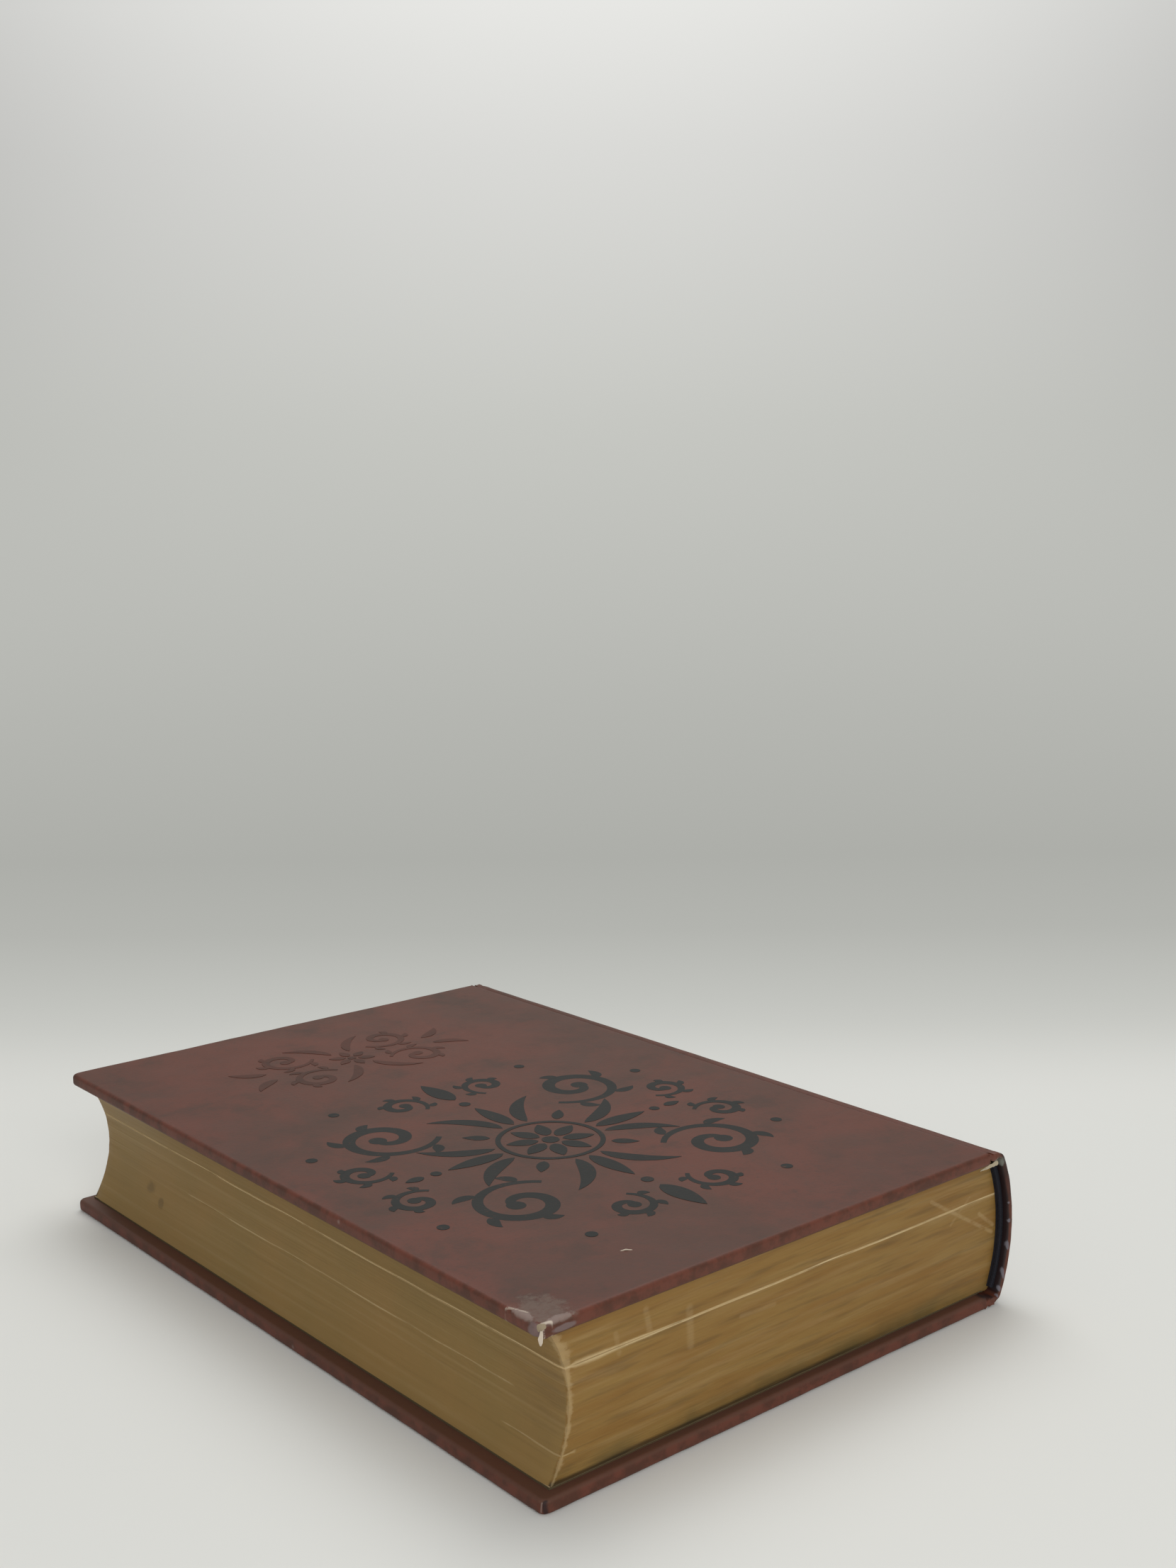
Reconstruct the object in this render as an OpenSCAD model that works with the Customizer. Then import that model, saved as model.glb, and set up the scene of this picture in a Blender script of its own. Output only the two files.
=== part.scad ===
// Case-bound hardback book lying on its back cover, front cover up.
// X runs from the fore edge to the spine, Y from the tail to the head, Z up.
// The origin is under the middle of the closed book, on the surface it lies on.
// Each cover is drawn as the back cover, outer face down, and mirrored for the front.

/* [Covers] */
// Height of the covers, tail to head
cover_h = 240; // [200:1:280]
// Width of one covered board, fore edge to joint
cover_w = 160.5; // [130:0.5:200]
// Thickness of the bare board
board_t = 2.9; // [2.4:0.1:4]
// Thickness of the leather
leather_t = 0.45; // [0.35:0.05:0.6]
// Width of leather turned in over the inside of a board
turn_in = 15; // [10:1:22]
// Rounding of the covered edges, seen in section
edge_r = 1.2; // [0.9:0.1:1.5]
// Rounding of the fore-edge corners, seen from above
corner_r = 2.4; // [1.8:0.1:4]
// Width of the mitre seam where two turn-ins meet at a corner
mitre_w = 0.2; // [0.1:0.05:0.4]

/* [Pages] */
// Thickness of the pages
page_t = 37.2; // [30:0.2:50]
// How far the covers stand past the pages at the head and the tail
square_ht = 3.2; // [2.9:0.1:5]
// How far the covers stand past the pages at the fore edge
square_fore = 4.4; // [3:0.1:7]
// Depth of the hollow fore edge
fore_hollow = 5.8; // [3:0.1:8]
// Height by which the backed shoulders stand above the first and last page
backing = 0.8; // [0.5:0.1:1]
// Rounding where the back of the pages meets a shoulder
back_r = 1.8; // [1:0.1:2.4]
// Height of the lowest parting above the last page
parting_low = 6.2; // [3:0.2:10]
// Height of the middle parting above the last page
parting_mid = 15.2; // [12:0.2:18]
// Height of the upper parting above the last page
parting_top = 27.2; // [20:0.2:29]
// Width of a parting at the page edges
parting_w = 0.3; // [0.15:0.05:0.6]
// Depth of a parting
parting_d = 0.6; // [0.3:0.1:1.5]

/* [Endpapers] */
// Thickness of the endpapers
paper_t = 0.18; // [0.12:0.01:0.3]
// Room left between a closed cover and the pages
closed_gap = 0.2; // [0.1:0.05:0.3]

/* [Spine] */
// Width of the joint, board to crown shoulder
joint_w = 6; // [5.5:0.1:8]
// Height of the round of the spine, shoulder to crown
spine_round = 5; // [4:0.1:6.5]
// How far the spine shoulders lie inside the cover faces
spine_drop = 1.4; // [1.1:0.1:1.8]
// Rounding of the spine shoulders
shoulder_r = 2.5; // [2.2:0.1:3]
// Rounding in the bottom of the joint groove
groove_r = 2.5; // [2.2:0.1:3.2]
// Gap in the leather along the hinge line
hinge_gap = 0.3; // [0.2:0.05:0.5]
// Thickness of the card that stiffens the spine
stiffener_t = 1.2; // [0.8:0.1:1.5]
// Clear hollow between the turned-in leather and the lined back
hollow_gap = 0.3; // [0.2:0.05:0.8]

/* [Back lining] */
// Thickness of the open-weave cloth on the back and of the headband tapes
mull_t = 0.3; // [0.2:0.05:0.4]
// Width of the cloth flange pasted on each board
flange_w = 26; // [15:1:35]
// Gap from the cloth to the turn-ins, and from the cloth to the headband tapes
mull_gap = 0.5; // [0.3:0.1:1]
// Thickness of the paper lining on the back
lining_t = 0.3; // [0.2:0.05:0.5]
// Distance from the ends of the pages to the paper lining
lining_end = 1; // [0.5:0.5:4]

/* [Headbands] */
// Height of the bead above the page ends
bead_h = 1.7; // [1.5:0.1:2.8]
// Width of the bead over the page ends
bead_w = 1.1; // [0.9:0.1:1.2]

/* [Hidden] */
$fn = 96;
// How far a cutting shape runs past what it cuts
past = 1;

// Stack from the table up: covered board, pastedown, room to close, flyleaf, pages, and back again.
board_in_z = leather_t + board_t;
covered_t = board_in_z + leather_t;
page_z = covered_t + closed_gap + 2 * paper_t;
book_t = page_t + 2 * page_z;
mid_z = book_t / 2;

// Plan of the closed book.
book_w = cover_w + joint_w + spine_round;
fore_x = -book_w / 2;
joint_x = fore_x + cover_w;
board_end_x = joint_x - leather_t;
crown_x = book_w / 2;
page_h = cover_h - 2 * square_ht;
page_fore_x = fore_x + square_fore;

// Section of the spine: one large arc, with a shoulder arc tangent to it.
spine_half = mid_z - spine_drop;
spine_r = (spine_half * spine_half + spine_round * spine_round) / (2 * spine_round);
spine_c = [crown_x - spine_r, mid_z];
spine_a = asin((spine_half - shoulder_r) / (spine_r - shoulder_r));
shoulder_c = [spine_c[0] + (spine_r - shoulder_r) * cos(spine_a), spine_drop + shoulder_r];

// Section of the joint: a groove arc tangent to the board's edge arc and to the shoulder arc.
edge_c = [joint_x - edge_r, edge_r];
span = norm(shoulder_c - edge_c);
across = (shoulder_c - edge_c) / span;
reach_edge = groove_r + edge_r;
reach_shoulder = groove_r + shoulder_r;
foot = (pow(reach_edge, 2) - pow(reach_shoulder, 2) + pow(span, 2)) / (2 * span);
sink = sqrt(pow(reach_edge, 2) - pow(foot, 2));
groove_c = edge_c + foot * across + sink * [across[1], -across[0]];
edge_a = atan2(groove_c[1] - edge_c[1], groove_c[0] - edge_c[0]);
shoulder_a = atan2(groove_c[1] - shoulder_c[1], groove_c[0] - shoulder_c[0]);
half_gap_a = asin(hinge_gap / 2 / groove_r);
hinge_x = groove_c[0];

// Section of the pages: a back that follows the spine, and a hollow fore edge.
fold_r = leather_t + stiffener_t / 2;
back_rad = spine_r - 2 * fold_r - hollow_gap - lining_t - mull_t;
page_half = page_t / 2;
backed_half = page_half + backing;
back_a = asin((backed_half - back_r) / (back_rad - back_r));
fore_r = (page_half * page_half + fore_hollow * fore_hollow) / (2 * fore_hollow);
fore_c = [page_fore_x + fore_hollow - fore_r, mid_z];
flare_x = joint_x + 2 * hinge_gap;
flare_run = 3 * backing;
flyleaf_end_x = min(hinge_x - hinge_gap / 2, flare_x + flare_run);
flyleaf_rise = backing * (flyleaf_end_x - flare_x) / flare_run;

// Cloth on the back lies between the head and tail turn-ins, and the tapes end short of it.
mull_h = cover_h - 2 * (turn_in + mull_gap);
tape_l = (page_h - mull_h) / 2 - mull_gap;
bead_r = (bead_w + mull_t) / 2;

// Extrudes a section drawn in X and Z, centred along the height of the book.
module along_y(length) {
    rotate([90, 0, 0]) linear_extrude(length, center = true) children();
}

// Sweeps a profile drawn outwards from a page or cover end round an arc of the section, at the tail.
module round_tail(centre, end_y, a0, a1) {
    translate([centre[0], -end_y, centre[1]]) rotate([90, 0, 0]) rotate([0, 0, a0]) {
        rotate_extrude(angle = a1 - a0) children();
    }
}

// Repeats a tail piece at the head.
module tail_and_head() {
    children();
    mirror([0, 1, 0]) children();
}

// Turns a back-cover piece into the front-cover one.
module front() {
    translate([0, 0, book_t]) mirror([0, 0, 1]) children();
}

// Section of a back-cover side, with the same again for the front side.
module both_sides() {
    children();
    translate([0, book_t]) mirror([0, 1]) children();
}

// Rectangle with rounded corners.
module round_rect(x0, x1, y0, y1, r) {
    translate([x0 + r, y0]) square([x1 - x0 - 2 * r, y1 - y0]);
    translate([x0, y0 + r]) square([x1 - x0, y1 - y0 - 2 * r]);
    for (x = [x0 + r, x1 - r], y = [y0 + r, y1 - r]) {
        translate([x, y]) circle(r);
    }
}

// Part of a ring between two angles less than half a turn apart.
module ring_sector(centre, r_in, r_out, a0, a1) {
    far = 3 * r_out;
    am = (a0 + a1) / 2;
    translate(centre) intersection() {
        difference() {
            circle(r_out);
            circle(r_in);
        }
        polygon([[0, 0], far * [cos(a0), sin(a0)], far * [cos(am), sin(am)], far * [cos(a1), sin(a1)]]);
    }
}

// Half of a rounded fold, as a profile to sweep at a given radius.
module fold(r_mid, r) {
    translate([r_mid, 0]) intersection() {
        circle(r);
        translate([-r, 0]) square([2 * r, r]);
    }
}

// Everything within a round back and its two rounded shoulders, in section.
module round_back(r, half, corner) {
    a = asin((half - corner) / (r - corner));
    corner_x = spine_c[0] + (r - corner) * cos(a);
    start_x = fore_x - past;
    intersection() {
        translate(spine_c) circle(r);
        translate([0, mid_z - r * sin(a)]) square([crown_x, 2 * r * sin(a)]);
    }
    translate([start_x, mid_z - half]) square([corner_x - start_x, 2 * half]);
    for (s = [-1, 1]) {
        translate([corner_x, mid_z + s * (half - corner)]) circle(corner);
    }
}

// Slit round the three open edges of the pages at one height.
module parting(height) {
    z = page_z + height;
    inner_x = fore_c[0] + sqrt(pow(fore_r, 2) - pow(z - mid_z, 2)) + parting_d;
    inner_h = page_h - 2 * parting_d;
    difference() {
        translate([fore_x, -cover_h / 2, z - parting_w / 2]) cube([book_w, cover_h, parting_w]);
        translate([inner_x, -inner_h / 2, z - parting_w]) cube([book_w, inner_h, 2 * parting_w]);
    }
}

// Pages: hollow fore edge, round back and flared shoulders, as one closed stack.
module text_block() {
    x0 = fore_x - past;
    z1 = page_half;
    z2 = backed_half;
    color([0.62, 0.50, 0.30]) difference() {
        along_y(page_h) difference() {
            intersection() {
                round_back(back_rad, backed_half, back_r);
                translate([0, mid_z]) polygon([[x0, -z1], [flare_x, -z1], [flare_x + flare_run, -z2],
                    [crown_x, -z2], [crown_x, z2], [flare_x + flare_run, z2], [flare_x, z1], [x0, z1]]);
            }
            translate(fore_c) circle(fore_r);
            translate([x0 - past, 0]) square([page_fore_x - x0, book_t]);
        }
        for (height = [parting_low, parting_mid, parting_top]) parting(height);
    }
}

// Loose leaf of an endpaper, drawn under the last page and up the flare of the shoulder.
module flyleaf() {
    along_y(page_h) translate([0, page_z]) polygon([[page_fore_x, 0], [page_fore_x, -paper_t],
        [flare_x, -paper_t], [flyleaf_end_x, -paper_t - flyleaf_rise],
        [flyleaf_end_x, -flyleaf_rise], [flare_x, 0]]);
}

module front_flyleaf() {
    color([0.80, 0.76, 0.66]) front() flyleaf();
}

module back_flyleaf() {
    color([0.80, 0.76, 0.66]) flyleaf();
}

// Open-weave cloth glued over the back and both shoulders, up to the hinge lines.
module mull() {
    color([0.78, 0.74, 0.64]) along_y(mull_h) difference() {
        round_back(back_rad + mull_t, backed_half + mull_t, back_r + mull_t);
        round_back(back_rad, backed_half, back_r);
        translate([fore_x - 2 * past, 0]) square([hinge_x + hinge_gap / 2 - fore_x + 2 * past, book_t]);
    }
}

// Paper glued over the cloth, inside the hollow of the spine.
module back_lining() {
    r = back_rad + mull_t;
    color([0.66, 0.55, 0.40]) along_y(page_h - 2 * lining_end) {
        ring_sector(spine_c, r, r + lining_t, -back_a, back_a);
    }
}

// Band at the tail: a bead that stands on the page ends, and its tape down the back.
module band() {
    round_tail(spine_c, page_h / 2, -back_a, back_a) {
        translate([back_rad - bead_w, 0]) square([2 * bead_r, bead_h - bead_r]);
        translate([back_rad - bead_w + bead_r, bead_h - bead_r]) circle(bead_r);
        translate([back_rad, -tape_l]) square([mull_t, tape_l]);
    }
}

module headband() {
    color([0.12, 0.12, 0.14]) mirror([0, 1, 0]) band();
}

module tailband() {
    color([0.12, 0.12, 0.14]) band();
}

// Curved card that keeps the spine in shape.
module spine_stiffener() {
    color([0.60, 0.54, 0.44]) along_y(cover_h - 2 * fold_r) {
        ring_sector(spine_c, spine_r - leather_t - stiffener_t, spine_r - leather_t, -spine_a, spine_a);
    }
}

// Leather of the spine in section: both joint halves, both shoulders and the crown.
module spine_section(joint_t) {
    both_sides() {
        ring_sector(groove_c, groove_r, groove_r + joint_t, shoulder_a + 180, 90 - half_gap_a);
        ring_sector(shoulder_c, shoulder_r - joint_t, shoulder_r, shoulder_a, -spine_a);
    }
}

// Folded end of the spine leather at the tail: the crown, and one shoulder and joint.
module crown_fold() {
    round_tail(spine_c, cover_h / 2 - fold_r, -spine_a, spine_a) fold(spine_r - fold_r, fold_r);
}

module shoulder_fold() {
    end_y = cover_h / 2 - leather_t;
    round_tail(shoulder_c, end_y, shoulder_a, -spine_a) fold(shoulder_r - leather_t, leather_t);
    round_tail(groove_c, end_y, shoulder_a + 180, 90 - half_gap_a) fold(groove_r + leather_t, leather_t);
}

// Leather over the spine, turned in over the ends of the stiffener.
module spine_leather() {
    turned_r = spine_r - 2 * fold_r;
    turned_l = turn_in - fold_r;
    color([0.37, 0.24, 0.21]) {
        along_y(cover_h - 2 * leather_t) spine_section(leather_t);
        along_y(cover_h - 2 * fold_r) {
            ring_sector(spine_c, spine_r - leather_t, spine_r, -spine_a, spine_a);
        }
        tail_and_head() {
            crown_fold();
            shoulder_fold();
            front() shoulder_fold();
            translate([0, turned_l / 2 + fold_r - cover_h / 2, 0]) along_y(turned_l) {
                ring_sector(spine_c, turned_r, turned_r + leather_t, -spine_a, spine_a);
            }
            translate([0, (turn_in - cover_h) / 2, 0]) along_y(turn_in - 2 * leather_t) {
                spine_section(2 * leather_t);
            }
        }
    }
}

// Board-shaped slab, rounded along its edges and at its two fore-edge corners.
module fore_slab(x0, x1, h, z0, z1, r_edge, r_corner) {
    corner_x = x0 + r_corner;
    corner_y = h / 2 - r_corner;
    translate([corner_x, 0, 0]) rotate([90, 0, 90]) linear_extrude(x1 - corner_x) {
        round_rect(-h / 2, h / 2, z0, z1, r_edge);
    }
    along_y(2 * corner_y) round_rect(x0, corner_x + r_corner, z0, z1, r_edge);
    for (s = [-1, 1]) {
        translate([corner_x, s * corner_y, 0]) rotate_extrude() intersection() {
            round_rect(-r_corner, r_corner, z0, z1, r_edge);
            translate([0, z0]) square([r_corner, z1 - z0]);
        }
    }
}

// Waste off the outer corner of a slab where it meets the joint.
module joint_corner(r) {
    along_y(cover_h + 2 * past) difference() {
        translate([edge_c[0], -past]) square([r + past, edge_c[1] + past]);
        translate(edge_c) circle(r);
    }
}

// Bare board, outer face down.
module board() {
    r = edge_r - leather_t;
    difference() {
        fore_slab(fore_x + leather_t, board_end_x, cover_h - 2 * leather_t, leather_t, board_in_z, r,
            corner_r - leather_t);
        joint_corner(r);
    }
}

module front_board() {
    color([0.60, 0.54, 0.44]) front() board();
}

module back_board() {
    color([0.60, 0.54, 0.44]) board();
}

// Room over the inside of a board that the turn-ins leave bare, from z0 to z1.
module bare_inside(inset, z0, z1) {
    x0 = fore_x + turn_in + inset;
    y1 = cover_h / 2 - turn_in - inset;
    translate([x0, -y1, z0]) cube([joint_x + past - x0, 2 * y1, z1 - z0]);
}

// The half of the joint leather that belongs to a cover, in section.
module joint_half(t) {
    ring_sector(edge_c, edge_r - leather_t, edge_r, -90, edge_a);
    ring_sector(groove_c, groove_r, groove_r + t, 90 + half_gap_a, 180 + edge_a);
}

// Leather of one cover: face, three wrapped edges, mitred turn-ins and its half of the joint.
module cover_leather() {
    end_y = cover_h / 2 - leather_t;
    difference() {
        fore_slab(fore_x, board_end_x, cover_h, 0, covered_t, edge_r, corner_r);
        board();
        bare_inside(0, board_in_z, covered_t + past);
        joint_corner(edge_r);
        for (s = [-1, 1]) {
            translate([fore_x + edge_r, s * (cover_h / 2 - edge_r), board_in_z]) rotate([0, 0, -45 * s]) {
                translate([0, -mitre_w / 2, 0]) cube([turn_in * sqrt(2), mitre_w, leather_t + past]);
            }
        }
    }
    along_y(2 * end_y) joint_half(leather_t);
    tail_and_head() {
        round_tail(groove_c, end_y, 90 + half_gap_a, 180 + edge_a) fold(groove_r + leather_t, leather_t);
        translate([0, (turn_in - cover_h) / 2, 0]) along_y(turn_in - 2 * leather_t) {
            joint_half(2 * leather_t);
        }
    }
}

module front_cover_leather() {
    color([0.40, 0.26, 0.23]) front() cover_leather();
}

module back_cover_leather() {
    color([0.36, 0.24, 0.21]) cover_leather();
}

// Cloth pasted on the inside of a board along the joint, grown where the paper covers it.
module mull_flange(grow) {
    half = mull_h / 2 + grow;
    translate([board_end_x - flange_w - grow, -half, board_in_z]) {
        cube([flange_w + grow, 2 * half, mull_t + grow]);
    }
}

module front_mull_flange() {
    color([0.78, 0.74, 0.64]) front() mull_flange(0);
}

module back_mull_flange() {
    color([0.78, 0.74, 0.64]) mull_flange(0);
}

// Block over the outline of the pages on a cover, from the board up to a given height.
module paper_outline(z1) {
    translate([page_fore_x, -page_h / 2, board_in_z]) {
        cube([board_end_x - page_fore_x, page_h, z1 - board_in_z]);
    }
}

// Pasted leaf of an endpaper: one sheet that steps down from the turn-ins and the cloth.
module pastedown() {
    top = covered_t + paper_t;
    difference() {
        union() {
            difference() {
                paper_outline(top);
                bare_inside(paper_t, board_in_z - past, top + past);
            }
            mull_flange(paper_t);
            intersection() {
                paper_outline(board_in_z + paper_t);
                bare_inside(0, board_in_z, top);
            }
        }
        mull_flange(0);
        difference() {
            translate([fore_x, -cover_h / 2, board_in_z - past]) cube([cover_w, cover_h, past + leather_t]);
            bare_inside(0, board_in_z - 2 * past, top + past);
        }
    }
}

module front_pastedown() {
    color([0.80, 0.76, 0.66]) front() pastedown();
}

module back_pastedown() {
    color([0.80, 0.76, 0.66]) pastedown();
}

text_block();
front_flyleaf();
back_flyleaf();
mull();
back_lining();
headband();
tailband();
spine_stiffener();
spine_leather();
front_board();
front_cover_leather();
front_mull_flange();
front_pastedown();
back_board();
back_cover_leather();
back_mull_flange();
back_pastedown();
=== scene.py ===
"""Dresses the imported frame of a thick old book: red-brown leather case, gilt page edges, black headbands.

Lengths are in millimetres unless a name says metres. X runs from the fore edge to the spine, Y from the tail
to the head and Z up through the front cover. A cover is drawn as the back one, outer face down, and turned
over for the front.
"""

import logging
import math
import random
from dataclasses import dataclass
from enum import Enum
from functools import cached_property
from typing import Callable, Sequence

import bmesh
import bpy
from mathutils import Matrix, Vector, noise


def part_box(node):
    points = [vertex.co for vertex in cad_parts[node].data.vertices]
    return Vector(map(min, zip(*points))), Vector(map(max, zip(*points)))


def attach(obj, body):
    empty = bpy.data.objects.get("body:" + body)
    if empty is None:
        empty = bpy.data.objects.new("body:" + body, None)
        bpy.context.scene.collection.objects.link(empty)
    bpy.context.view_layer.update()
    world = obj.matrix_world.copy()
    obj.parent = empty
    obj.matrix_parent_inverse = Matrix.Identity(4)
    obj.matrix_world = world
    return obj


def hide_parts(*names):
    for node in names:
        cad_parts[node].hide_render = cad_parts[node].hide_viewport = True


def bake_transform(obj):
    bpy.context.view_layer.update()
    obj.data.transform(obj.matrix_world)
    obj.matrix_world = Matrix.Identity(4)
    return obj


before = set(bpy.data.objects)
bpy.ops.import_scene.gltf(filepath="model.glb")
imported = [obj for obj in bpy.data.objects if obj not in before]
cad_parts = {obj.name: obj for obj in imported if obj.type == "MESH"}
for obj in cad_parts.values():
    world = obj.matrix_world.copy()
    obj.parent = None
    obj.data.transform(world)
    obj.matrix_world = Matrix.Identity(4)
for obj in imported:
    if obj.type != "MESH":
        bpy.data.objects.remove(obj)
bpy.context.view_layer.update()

MM = 0.001
DOUBLED_M = 2e-6
COLLAPSED_M = 1e-7
HOLE_SIDES = 4
SHARP_DEG = 40
LOG = logging.getLogger("old_book")

Colour = tuple[float, float, float, float]
Plan = tuple[float, float, float, float]
Triple = tuple[float, float, float]
Pair = tuple[float, float]


def srgb(red: int, green: int, blue: int) -> Colour:
    """Linear colour of one that is given as a picture shows it, 0 to 255."""
    parts = [c / 255 for c in (red, green, blue)]
    linear = [c / 12.92 if c <= 0.04045 else ((c + 0.055) / 1.055) ** 2.4 for c in parts]
    return (*linear, 1.0)


def spaced(start: float, end: float, step: float) -> list[float]:
    """Evenly spaced values from start to end, about a step apart, both ends included."""
    count = max(1, round(abs(end - start) / step))
    return [start + (end - start) * i / count for i in range(count + 1)]


def graded(start: float, end: float, run: float, fine: float, coarse: float) -> list[float]:
    """Values from start to end that lie closer together near both ends.

    Args:
        start: First value.
        end: Last value.
        run: How far from each end the fine steps go.
        fine: Step near the ends.
        coarse: Step between them.

    Returns:
        The values, in order.
    """
    low, high = spaced(start, start + run, fine), spaced(end - run, end, fine)
    return low + spaced(low[-1], high[0], coarse)[1:-1] + high


def direction(degrees: float) -> Pair:
    """Cosine and sine of an angle."""
    angle = math.radians(degrees)
    return math.cos(angle), math.sin(angle)


def fade(value: float, near: float, far: float) -> float:
    """1 at or before near, 0 at or past far, and smooth between them."""
    t = min(1.0, max(0.0, (far - value) / (far - near)))
    return t * t * (3 - 2 * t)


def ripple(point: Vector, size: float, seed: float) -> float:
    """Smooth noise between about -1 and 1 that changes over a given length."""
    return noise.noise(Vector((point.x / size + seed, point.y / size - seed, point.z / size + 2 * seed)))


def linked_object(name: str, data: bpy.types.ID) -> bpy.types.Object:
    """Makes an object of a mesh, a lamp or a camera and links it to the scene."""
    made = bpy.data.objects.new(name, data)
    bpy.context.scene.collection.objects.link(made)
    return made


class Cover(Enum):
    """The two covers, which are also the names of their parts."""

    BACK = "back"
    FRONT = "front"

    @property
    def body(self) -> str:
        """CAD body that turns with this cover."""
        return f"{self.value}_cover"


class End(Enum):
    """The two ends of the spine, as signs along Y."""

    TAIL = -1
    HEAD = 1


@dataclass(frozen=True)
class Station:
    """A point of a section, its outward normal, and half the thickness of the leather fold there."""

    x: float
    z: float
    nx: float
    nz: float
    fold: float

    def at(self, y: float, depth: float = 0.0) -> Vector:
        """Point at a place along the book, a given depth under the outer surface."""
        return Vector((self.x - depth * self.nx, y, self.z - depth * self.nz))


@dataclass(frozen=True)
class Arc:
    """An arc of the section from one angle to another, in degrees, seen from outside or from inside it."""

    x: float
    z: float
    radius: float
    start: float
    end: float
    hollow: bool = False

    def stations(self, count: int, fold: float, end_fold: float | None = None) -> list[Station]:
        """Stations along the arc, with the fold growing evenly from one end to the other."""
        last = fold if end_fold is None else end_fold
        side = -1 if self.hollow else 1
        found = []
        for i in range(count + 1):
            t = i / count
            c, s = direction(self.start + (self.end - self.start) * t)
            found.append(Station(self.x + self.radius * c, self.z + self.radius * s, side * c, side * s,
                                 fold + (last - fold) * t))
        return found


@dataclass(frozen=True)
class BookSection:
    """Sizes of the closed book. Outer ones come from the frame, and the others repeat the part's own."""

    leather_t: float = 0.45
    turn_in: float = 15.0
    edge_r: float = 1.2
    corner_r: float = 2.4
    joint_w: float = 6.0
    spine_round: float = 5.0
    spine_drop: float = 1.4
    shoulder_r: float = 2.5
    groove_r: float = 2.5
    hinge_gap: float = 0.3
    stiffener_t: float = 1.2
    mull_t: float = 0.3
    back_r: float = 1.8
    fore_hollow: float = 5.8
    bead_h: float = 1.7
    bead_w: float = 1.1
    tape_l: float = 11.8
    swell_h: float = 1.3
    lap_a: float = -62.0
    end_run: float = 6.0
    end_step: float = 0.75

    @cached_property
    def fore_x(self) -> float:
        """Fore edge of the covers."""
        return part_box("back_cover_leather")[0].x / MM

    @cached_property
    def half_h(self) -> float:
        """Half the height of the covers."""
        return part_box("back_cover_leather")[1].y / MM

    @cached_property
    def covered_t(self) -> float:
        """Thickness of a covered board."""
        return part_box("back_cover_leather")[1].z / MM

    @cached_property
    def book_t(self) -> float:
        """Thickness of the closed book."""
        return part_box("front_cover_leather")[1].z / MM

    @cached_property
    def crown_x(self) -> float:
        """Highest point of the rounded spine."""
        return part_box("spine_leather")[1].x / MM

    @cached_property
    def page_fore_x(self) -> float:
        """Fore corners of the pages."""
        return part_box("text_block")[0].x / MM

    @cached_property
    def page_half_h(self) -> float:
        """Half the height of the pages."""
        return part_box("text_block")[1].y / MM

    @cached_property
    def page_z(self) -> float:
        """Level of the last page over its flat part."""
        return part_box("back_flyleaf")[1].z / MM

    @cached_property
    def backing(self) -> float:
        """Rise of the backed shoulders over the flat pages."""
        return self.page_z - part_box("text_block")[0].z / MM

    @property
    def mid_z(self) -> float:
        """Middle of the book's thickness."""
        return self.book_t / 2

    @property
    def joint_x(self) -> float:
        """Line where a board ends and its joint starts."""
        return self.crown_x - self.spine_round - self.joint_w

    @property
    def board_end_x(self) -> float:
        """Spine edge of the bare board."""
        return self.joint_x - self.leather_t

    @cached_property
    def spine_r(self) -> float:
        """Radius of the crown of the spine."""
        half = self.mid_z - self.spine_drop
        return (half * half + self.spine_round ** 2) / (2 * self.spine_round)

    @property
    def spine_x(self) -> float:
        """Centre of the crown, of the pages' back and of the bands."""
        return self.crown_x - self.spine_r

    @cached_property
    def spine_a(self) -> float:
        """Half the angle of the crown arc, in degrees."""
        half = self.mid_z - self.spine_drop
        return math.degrees(math.asin((half - self.shoulder_r) / (self.spine_r - self.shoulder_r)))

    @cached_property
    def shoulder_c(self) -> Pair:
        """Centre of the spine's shoulder arc."""
        reach = self.spine_r - self.shoulder_r
        return self.spine_x + reach * direction(self.spine_a)[0], self.spine_drop + self.shoulder_r

    @property
    def edge_c(self) -> Pair:
        """Centre of the rounding where a cover's face meets its joint."""
        return self.joint_x - self.edge_r, self.edge_r

    @cached_property
    def groove_c(self) -> Pair:
        """Centre of the arc in the bottom of the joint, tangent to the arcs on both of its sides."""
        (ex, ez), (sx, sz) = self.edge_c, self.shoulder_c
        span = math.hypot(sx - ex, sz - ez)
        ux, uz = (sx - ex) / span, (sz - ez) / span
        to_edge, to_shoulder = self.groove_r + self.edge_r, self.groove_r + self.shoulder_r
        foot = (to_edge ** 2 - to_shoulder ** 2 + span ** 2) / (2 * span)
        sink = math.sqrt(to_edge ** 2 - foot ** 2)
        return ex + foot * ux + sink * uz, ez + foot * uz - sink * ux

    @property
    def edge_a(self) -> float:
        """Angle at which the cover's rounding meets the groove, in degrees."""
        return math.degrees(math.atan2(self.groove_c[1] - self.edge_c[1], self.groove_c[0] - self.edge_c[0]))

    @property
    def shoulder_a(self) -> float:
        """Angle at which the shoulder meets the groove, in degrees."""
        (gx, gz), (sx, sz) = self.groove_c, self.shoulder_c
        return math.degrees(math.atan2(gz - sz, gx - sx))

    @property
    def half_gap_a(self) -> float:
        """Half the angle of the gap along the hinge line, seen from the groove's centre."""
        return math.degrees(math.asin(self.hinge_gap / 2 / self.groove_r))

    @property
    def crown_fold(self) -> float:
        """Half the thickness of the spine where the leather folds over its stiffener."""
        return self.leather_t + self.stiffener_t / 2

    @cached_property
    def back_rad(self) -> float:
        """Radius of the back of the pages."""
        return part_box("text_block")[1].x / MM - self.spine_x

    @cached_property
    def page_half(self) -> float:
        """Half the thickness of the pages."""
        return self.mid_z - self.page_z

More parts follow.
